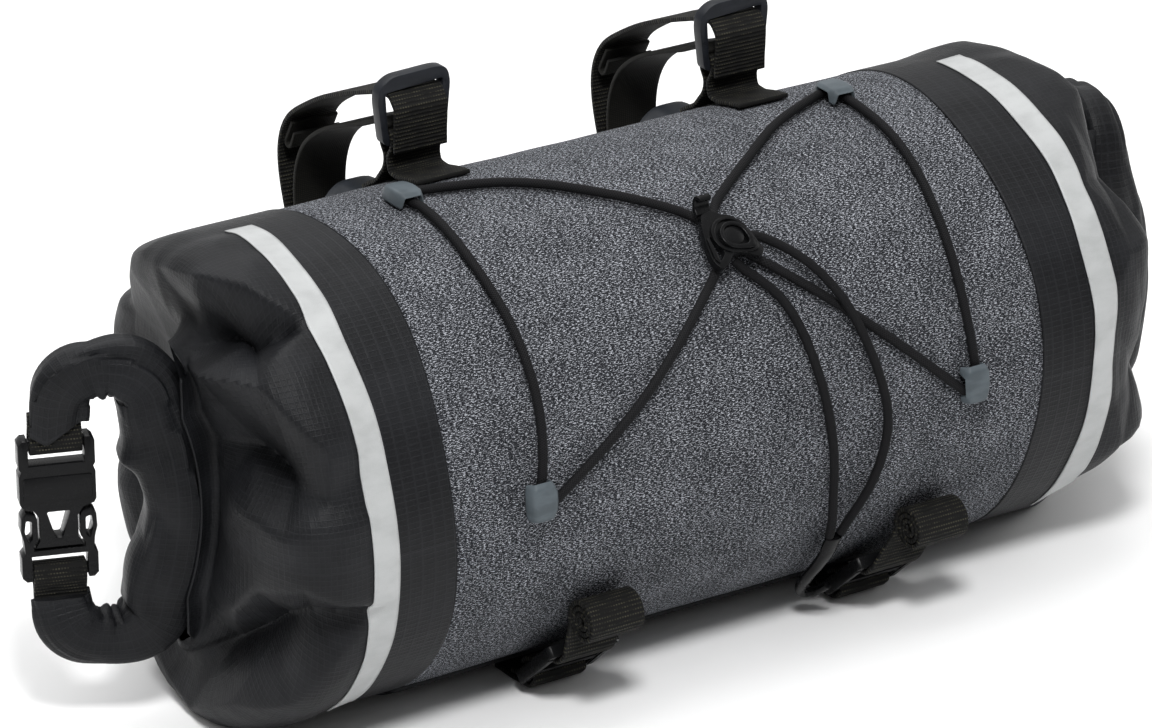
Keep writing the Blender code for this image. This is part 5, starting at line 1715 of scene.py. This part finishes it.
def make_stitched_tab(name, x, node):
    """A short fold of webbing on the inner side of the outer strap."""
    first = Vector(OUTER_STRAP_ROUTE[4]) * BODY_RADIUS
    second = Vector(OUTER_STRAP_ROUTE[3]) * BODY_RADIUS
    along = (second - first).normalized()
    inward = Vector((along.y, -along.x))
    if inward.x > 0.0:
        inward = -inward
    near = WEBBING_THICKNESS + FIT_GAP + 0.0002
    far = near + WEBBING_THICKNESS + FIT_GAP + 0.0006
    length = (second - first).length
    rows = ((0.10, near), (0.86, near), (0.98, near + 0.0006), (0.98, far),
            (0.80, far + 0.0012), (0.30, far + 0.0006))
    points = [first + along * length * share + inward * offset for share, offset in rows]
    band(name, points, WEBBING_WIDTH * 0.9, TAB_THICKNESS, side_frame(x), flat_webbing, node,
         bend=0.0008)


def make_spacer(name, x, node):
    """A soft rubber cushion that lies on the body's back, rounded on top."""
    def place(a, b, radius, upper):
        rise = math.sqrt(max(0.0, 1.0 - smooth_share(radius, 0.55, 1.0) ** 2))
        height = SPACER_BASE + (SPACER_HEIGHT * (0.12 + 0.88 * rise) if upper else 0.0)
        angle = SPACER_ANGLE + math.degrees(b * SPACER_LENGTH / 2.0 / BODY_RADIUS)
        return around(angle, SOLE_RADIUS + height, x + a * WEBBING_WIDTH * 0.52)

    bm = pillow(16, 30, 4, place)
    item = add_piece(name, bm, spacer_rubber, node, 70.0)


# Lower straps


def ladder_radius():
    """Distance of a ladder lock's middle from the body's axis."""
    return SOLE_RADIUS + LADDER_CLEARANCE


def ladder_bars():
    """Edges of the three bars along the lock's length, from its lower end."""
    half = LADDER_LENGTH / 2.0
    middle = -half + LADDER_BAR + LADDER_FIRST_SLOT
    return -half, -half + LADDER_BAR, middle, middle + 0.85 * LADDER_BAR, half - LADDER_BAR, half


def make_ladder(name, x, node):
    """A three-bar lock with raised rails along its sides."""
    bottom, first, second, third, fourth, top = ladder_bars()
    w = LADDER_WIDTH / 2.0
    inside = WEBBING_WIDTH / 2.0 + LADDER_SIDE_GAP
    outline = soft_corners([(-w, bottom), (w, bottom), (w, top), (-w, top)], 0.0026)
    windows = [
        soft_corners([(-inside, low), (inside, low), (inside, high), (-inside, high)], 0.0006)
        for low, high in ((first, second), (third, fourth))]
    matrix = body_frame(x, LADDER_ANGLE, ladder_radius())
    half = LADDER_THICKNESS / 2.0
    body = plate(outline, windows, -half, half, matrix, 0.0009, 3)
    outer = w * 0.99
    inner = inside + 0.0008
    rails = [
        plate(soft_corners([(s * outer, bottom + 0.003), (s * outer, top - 0.003),
                            (s * inner, top - 0.003), (s * inner, bottom + 0.003)], 0.0006),
              [], half * 0.8, half * 1.18, matrix, 0.0003) for s in (1.0, -1.0)]
    add_piece(name, joined(body, *rails), gloss_moulding, node, 40.0)


def ladder_place(out, along):
    """A point of the lower strap's plane from its distances out of and along the lock."""
    turn = math.radians(LADDER_ANGLE)
    normal = Vector((-math.cos(turn), math.sin(turn)))
    up = Vector((math.sin(turn), math.cos(turn)))
    return normal * (ladder_radius() + out) + up * along


def lower_layers():
    """Distance from the lock's plane to the webbing on it, and between two layers of webbing."""
    layer = LADDER_THICKNESS / 2.0 + FIT_GAP + WEBBING_THICKNESS / 2.0
    return layer, WEBBING_THICKNESS + FIT_GAP


def make_lower_tab(name, x, node):
    """Webbing from under the body, folded round the lock's lower bar."""
    bottom, first, _, _, _, _ = ladder_bars()
    layer, step = lower_layers()
    rise = FIT_GAP + WEBBING_THICKNESS
    floor = rise - WEBBING_THICKNESS / 2.0 - AXIS_HEIGHT
    root = math.sqrt(SOLE_RADIUS ** 2 - (AXIS_HEIGHT - rise - FIT_GAP) ** 2)
    fold = first + FIT_GAP + WEBBING_THICKNESS / 2.0
    over = ladder_place(layer, bottom - 0.0006)
    inner = ladder_place(-layer, bottom)
    points = [
        (-root, floor), (-0.500 * BODY_RADIUS, floor),
        (over.x + 0.0035, min(floor + 0.0008, over.y)), over,
        ladder_place(layer, fold), ladder_place(-layer, fold), inner,
        (inner.x + 0.0035, max(floor + step + 0.0006, inner.y - 0.0032)),
        (-0.495 * BODY_RADIUS, floor + step + 0.0003)]
    strap(name, points, x, node)


def make_lower_strap(name, x, roll_x, node):
    """Webbing through the lock, over its top bar and up to its rolled end."""
    bottom, first, _, third, fourth, top = ladder_bars()
    layer, step = lower_layers()
    out_radius = STRAP_ROLL_CORE + STRAP_ROLL_PITCH * STRAP_ROLL_TURNS
    ride = BODY_RADIUS + out_radius + WEBBING_THICKNESS / 2.0 + STRAP_ROLL_GAP
    turn = math.radians(STRAP_ROLL_ANGLE)
    centre = Vector((-ride * math.cos(turn), ride * math.sin(turn)))
    points = [
        ladder_place(-layer - step - 0.0003, bottom + 0.0010),
        ladder_place(-layer - step - 0.0003, first + 0.0014),
        ladder_place(-layer, first + 0.0048),
        ladder_place(-layer, third + 0.0010),
        ladder_place(-layer * 0.5, third + 0.0035),
        ladder_place(layer * 0.5, fourth - 0.0030),
        ladder_place(layer, fourth - 0.0002),
        ladder_place(layer, top + 0.0012),
    ]
    drift = [0.0] * len(points)
    turns = STRAP_ROLL_TURNS + STRAP_ROLL_HEART
    count = round(turns * STRAP_ROLL_PIECES)
    for i in range(count + 1):
        share = i / count
        turn = math.radians(STRAP_ROLL_START + 360.0 * turns * share)
        radius = out_radius - STRAP_ROLL_PITCH * turns * share
        points.append(centre + Vector((math.cos(turn), math.sin(turn))) * radius)
        drift.append(roll_x - x)
    strap(name, points, x, node, drift=drift)


# Stage


def aimed(name, data, place, direction):
    """Link a camera or light at a place, looking in a direction."""
    item = bpy.data.objects.new(name, data)
    item.location = place
    item.rotation_mode = "QUATERNION"
    item.rotation_quaternion = direction.to_track_quat("-Z", "Y")
    bpy.context.collection.objects.link(item)
    return item


def make_camera(lens):
    """The camera at the photograph's angle."""
    camera = bpy.data.cameras.new("Camera")
    camera.lens = lens
    camera.sensor_width = SENSOR_WIDTH
    camera.clip_start = 0.05
    return aimed("Camera", camera, CAMERA_PLACE, Vector(CAMERA_AIM))


def make_floor():
    """A wide pale floor under the bag."""
    bm = bmesh.new()
    bmesh.ops.create_grid(bm, x_segments=1, y_segments=1, size=FLOOR_HALF_SIZE)
    mesh = mesh_from(bm)
    mesh.materials.append(made(stage_floor))
    floor = bpy.data.objects.new("floor", mesh)
    bpy.context.collection.objects.link(floor)


def make_surround(strength):
    """Light from all sides, mostly from above and behind."""
    world = bpy.data.worlds.new("Surround")
    bpy.context.scene.world = world
    world.use_nodes = True
    nodes = Nodes(world.node_tree)
    place = nodes.node("ShaderNodeTexCoord", {}, {}, "Generated")
    sockets = {0: place, 1: SURROUND_AIM}
    rise = nodes.node("ShaderNodeVectorMath", {"operation": "DOT_PRODUCT"}, sockets, "Value")
    background = world.node_tree.nodes["Background"].inputs
    nodes.connect(background["Strength"], nodes.level(rise, *SURROUND_RANGE) * strength)
    nodes.connect(background["Color"], (1.0, 1.0, 1.0))


def make_light(name, place, size, share, power):
    """A square light turned to the bag."""
    light = bpy.data.lights.new(name, "AREA")
    light.size = size
    light.energy = power * share
    aimed(name, light, place, Vector(LIGHT_TARGET) - Vector(place))


# Operators


ENDS = (("left", LEFT_CLOSURE, LEFT_CREASES), ("right", RIGHT_CLOSURE, RIGHT_CREASES))
SIDES = (("left", -1.0), ("right", 1.0))


class BAG_OT_camera(bpy.types.Operator):
    """Set the camera at the photograph's angle"""

    bl_idname = "bag.camera"
    bl_label = "Camera"

    def execute(self, context):
        context.scene.camera = make_camera(context.scene.bag_stage.lens)
        return {"FINISHED"}


class BAG_OT_elastic_cord(bpy.types.Operator):
    """Lay the two cord loops and the two free ends with their hook"""

    bl_idname = "bag.elastic_cord"
    bl_label = "Elastic cord"

    def execute(self, context):
        hook = make_end_hook("cord_end_moulding")
        make_cord_tail("elastic_tail_front", TAIL_FRONT_ROUTE, "cord_tail_front")
        make_cord_tail("elastic_tail_rear", TAIL_REAR_ROUTE, "cord_tail_rear")
        make_cord_loop("elastic_loop_left", -1.0, LEFT_LOOP_ROUTE, LEFT_LOOP_SIDE,
                       LEFT_LOOP_RETURN, "cord_loop_left")
        make_cord_loop("elastic_loop_right", 1.0, RIGHT_LOOP_ROUTE, RIGHT_LOOP_SIDE,
                       RIGHT_LOOP_RETURN, "cord_loop_right")
        return {"FINISHED"}


class BAG_OT_body(bpy.types.Operator):
    """Wrap the heather front and the coated underside round the body"""

    bl_idname = "bag.body"
    bl_label = "Body panels"

    def execute(self, context):
        make_front_panel()
        make_back_panel()
        return {"FINISHED"}


class BAG_OT_ends(bpy.types.Operator):
    """Draw the end tubes in to their necks and lay the reflective strips"""

    bl_idname = "bag.ends"
    bl_label = "Ends and strips"

    def execute(self, context):
        for name, closure, creases in ENDS:
            cloth = make_end(name + "_end", closure, creases)
            make_tape(name + "_tape", closure[0], cloth, name + "_reflective_strip")
        return {"FINISHED"}


class BAG_OT_rolls(bpy.types.Operator):
    """Roll the closures and bend them to a C"""

    bl_idname = "bag.rolls"
    bl_label = "Rolled closures"

    def execute(self, context):
        for name, closure, _ in ENDS:
            make_roll(name + "_roll", closure)
        return {"FINISHED"}


class BAG_OT_buckles(bpy.types.Operator):
    """Mould the side-release buckles and fold the webbing round their bars"""

    bl_idname = "bag.buckles"
    bl_label = "Buckles"

    def execute(self, context):
        for name, closure, _ in ENDS:
            make_buckle(name, closure)
            make_buckle_tab(name + "_upper_webbing", closure, 1.0, name + "_upper_tab")
            make_buckle_tab(name + "_lower_webbing", closure, -1.0, name + "_lower_tab")
        return {"FINISHED"}


class BAG_OT_cord_hardware(bpy.types.Operator):
    """Mould the four cord guides and the cord lock"""

    bl_idname = "bag.cord_hardware"
    bl_label = "Guides and lock"

    def execute(self, context):
        for name, side in SIDES:
            make_guide(name + "_upper_guide_hood", side, GUIDE_TOP_ANGLE, 1.0,
                       name + "_upper_cord_guide")
            make_guide(name + "_lower_guide_hood", side, GUIDE_BOTTOM_ANGLE, -1.0,
                       name + "_lower_cord_guide")
        make_lock()
        return {"FINISHED"}


class BAG_OT_handlebar_straps(bpy.types.Operator):
    """Make the straps, rings and spacers that hold the handlebar"""

    bl_idname = "bag.handlebar_straps"
    bl_label = "Handlebar straps"

    def execute(self, context):
        for side_name, side in SIDES:
            x = side * BAR_STRAP_SHARE * PANEL_HALF_LENGTH
            node = side_name + "_handlebar_"
            name = side_name + "_bar_"
            make_ring(name + "ring_moulding", x, node + "hook_ring")
            make_ring_loop(name + "ring_webbing", x, node + "ring_loop")
            make_outer_strap(name + "outer_webbing", x, node + "outer_strap")
            make_inner_strap(name + "inner_webbing", x, node + "inner_strap")
            make_stitched_tab(name + "folded_webbing", x, node + "stitched_tab")
            make_spacer(name + "spacer_cushion", x, node + "spacer_pad")
        return {"FINISHED"}


class BAG_OT_lower_straps(bpy.types.Operator):
    """Make the lower straps, their locks and their rolled ends"""

    bl_idname = "bag.lower_straps"
    bl_label = "Lower straps"

    def execute(self, context):
        for name, lock_share, roll_share in LOWER_STRAPS:
            x = lock_share * PANEL_HALF_LENGTH
            make_ladder(name + "_ladder_moulding", x, name + "_ladder_lock")
            make_lower_tab(name + "_ladder_webbing", x, name + "_ladder_tab")
            make_lower_strap(name + "_rolled_webbing", x, roll_share * PANEL_HALF_LENGTH,
                             name + "_lower_strap")
        return {"FINISHED"}


class BAG_OT_stage(bpy.types.Operator):
    """Lay the floor and set the studio lights"""

    bl_idname = "bag.stage"
    bl_label = "Stage"

    def execute(self, context):
        stage = context.scene.bag_stage
        make_floor()
        make_surround(stage.surround)
        for row in LIGHTS:
            make_light(*row, stage.key_power)
        context.scene.view_settings.view_transform = "Standard"
        return {"FINISHED"}


OPERATORS = (
    BAG_OT_camera, BAG_OT_elastic_cord, BAG_OT_body, BAG_OT_ends, BAG_OT_rolls, BAG_OT_buckles,
    BAG_OT_cord_hardware, BAG_OT_handlebar_straps, BAG_OT_lower_straps, BAG_OT_stage)


class BAG_PT_panel(bpy.types.Panel):
    """Lists the pieces of the bag and its settings."""

    bl_idname = "BAG_PT_panel"
    bl_label = "Handlebar bag"
    bl_space_type = "VIEW_3D"
    bl_region_type = "UI"
    bl_category = "Bag"

    def draw(self, context):
        layout = self.layout
        for group in (context.scene.bag_settings, context.scene.bag_stage):
            for key in group.__annotations__:
                layout.prop(group, key)
        for operator in OPERATORS:
            layout.operator(operator.bl_idname)


CLASSES = (BagSettings, StageSettings, *OPERATORS, BAG_PT_panel)


def register():
    for item in CLASSES:
        bpy.utils.register_class(item)
    bpy.types.Scene.bag_settings = bpy.props.PointerProperty(type=BagSettings)
    bpy.types.Scene.bag_stage = bpy.props.PointerProperty(type=StageSettings)


def unregister():
    del bpy.types.Scene.bag_stage
    del bpy.types.Scene.bag_settings
    for item in reversed(CLASSES):
        bpy.utils.unregister_class(item)


def main():
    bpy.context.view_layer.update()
    register()
    for operator in OPERATORS:
        group, name = operator.bl_idname.split(".")
        getattr(getattr(bpy.ops, group), name)()


if __name__ == "__main__":
    main()
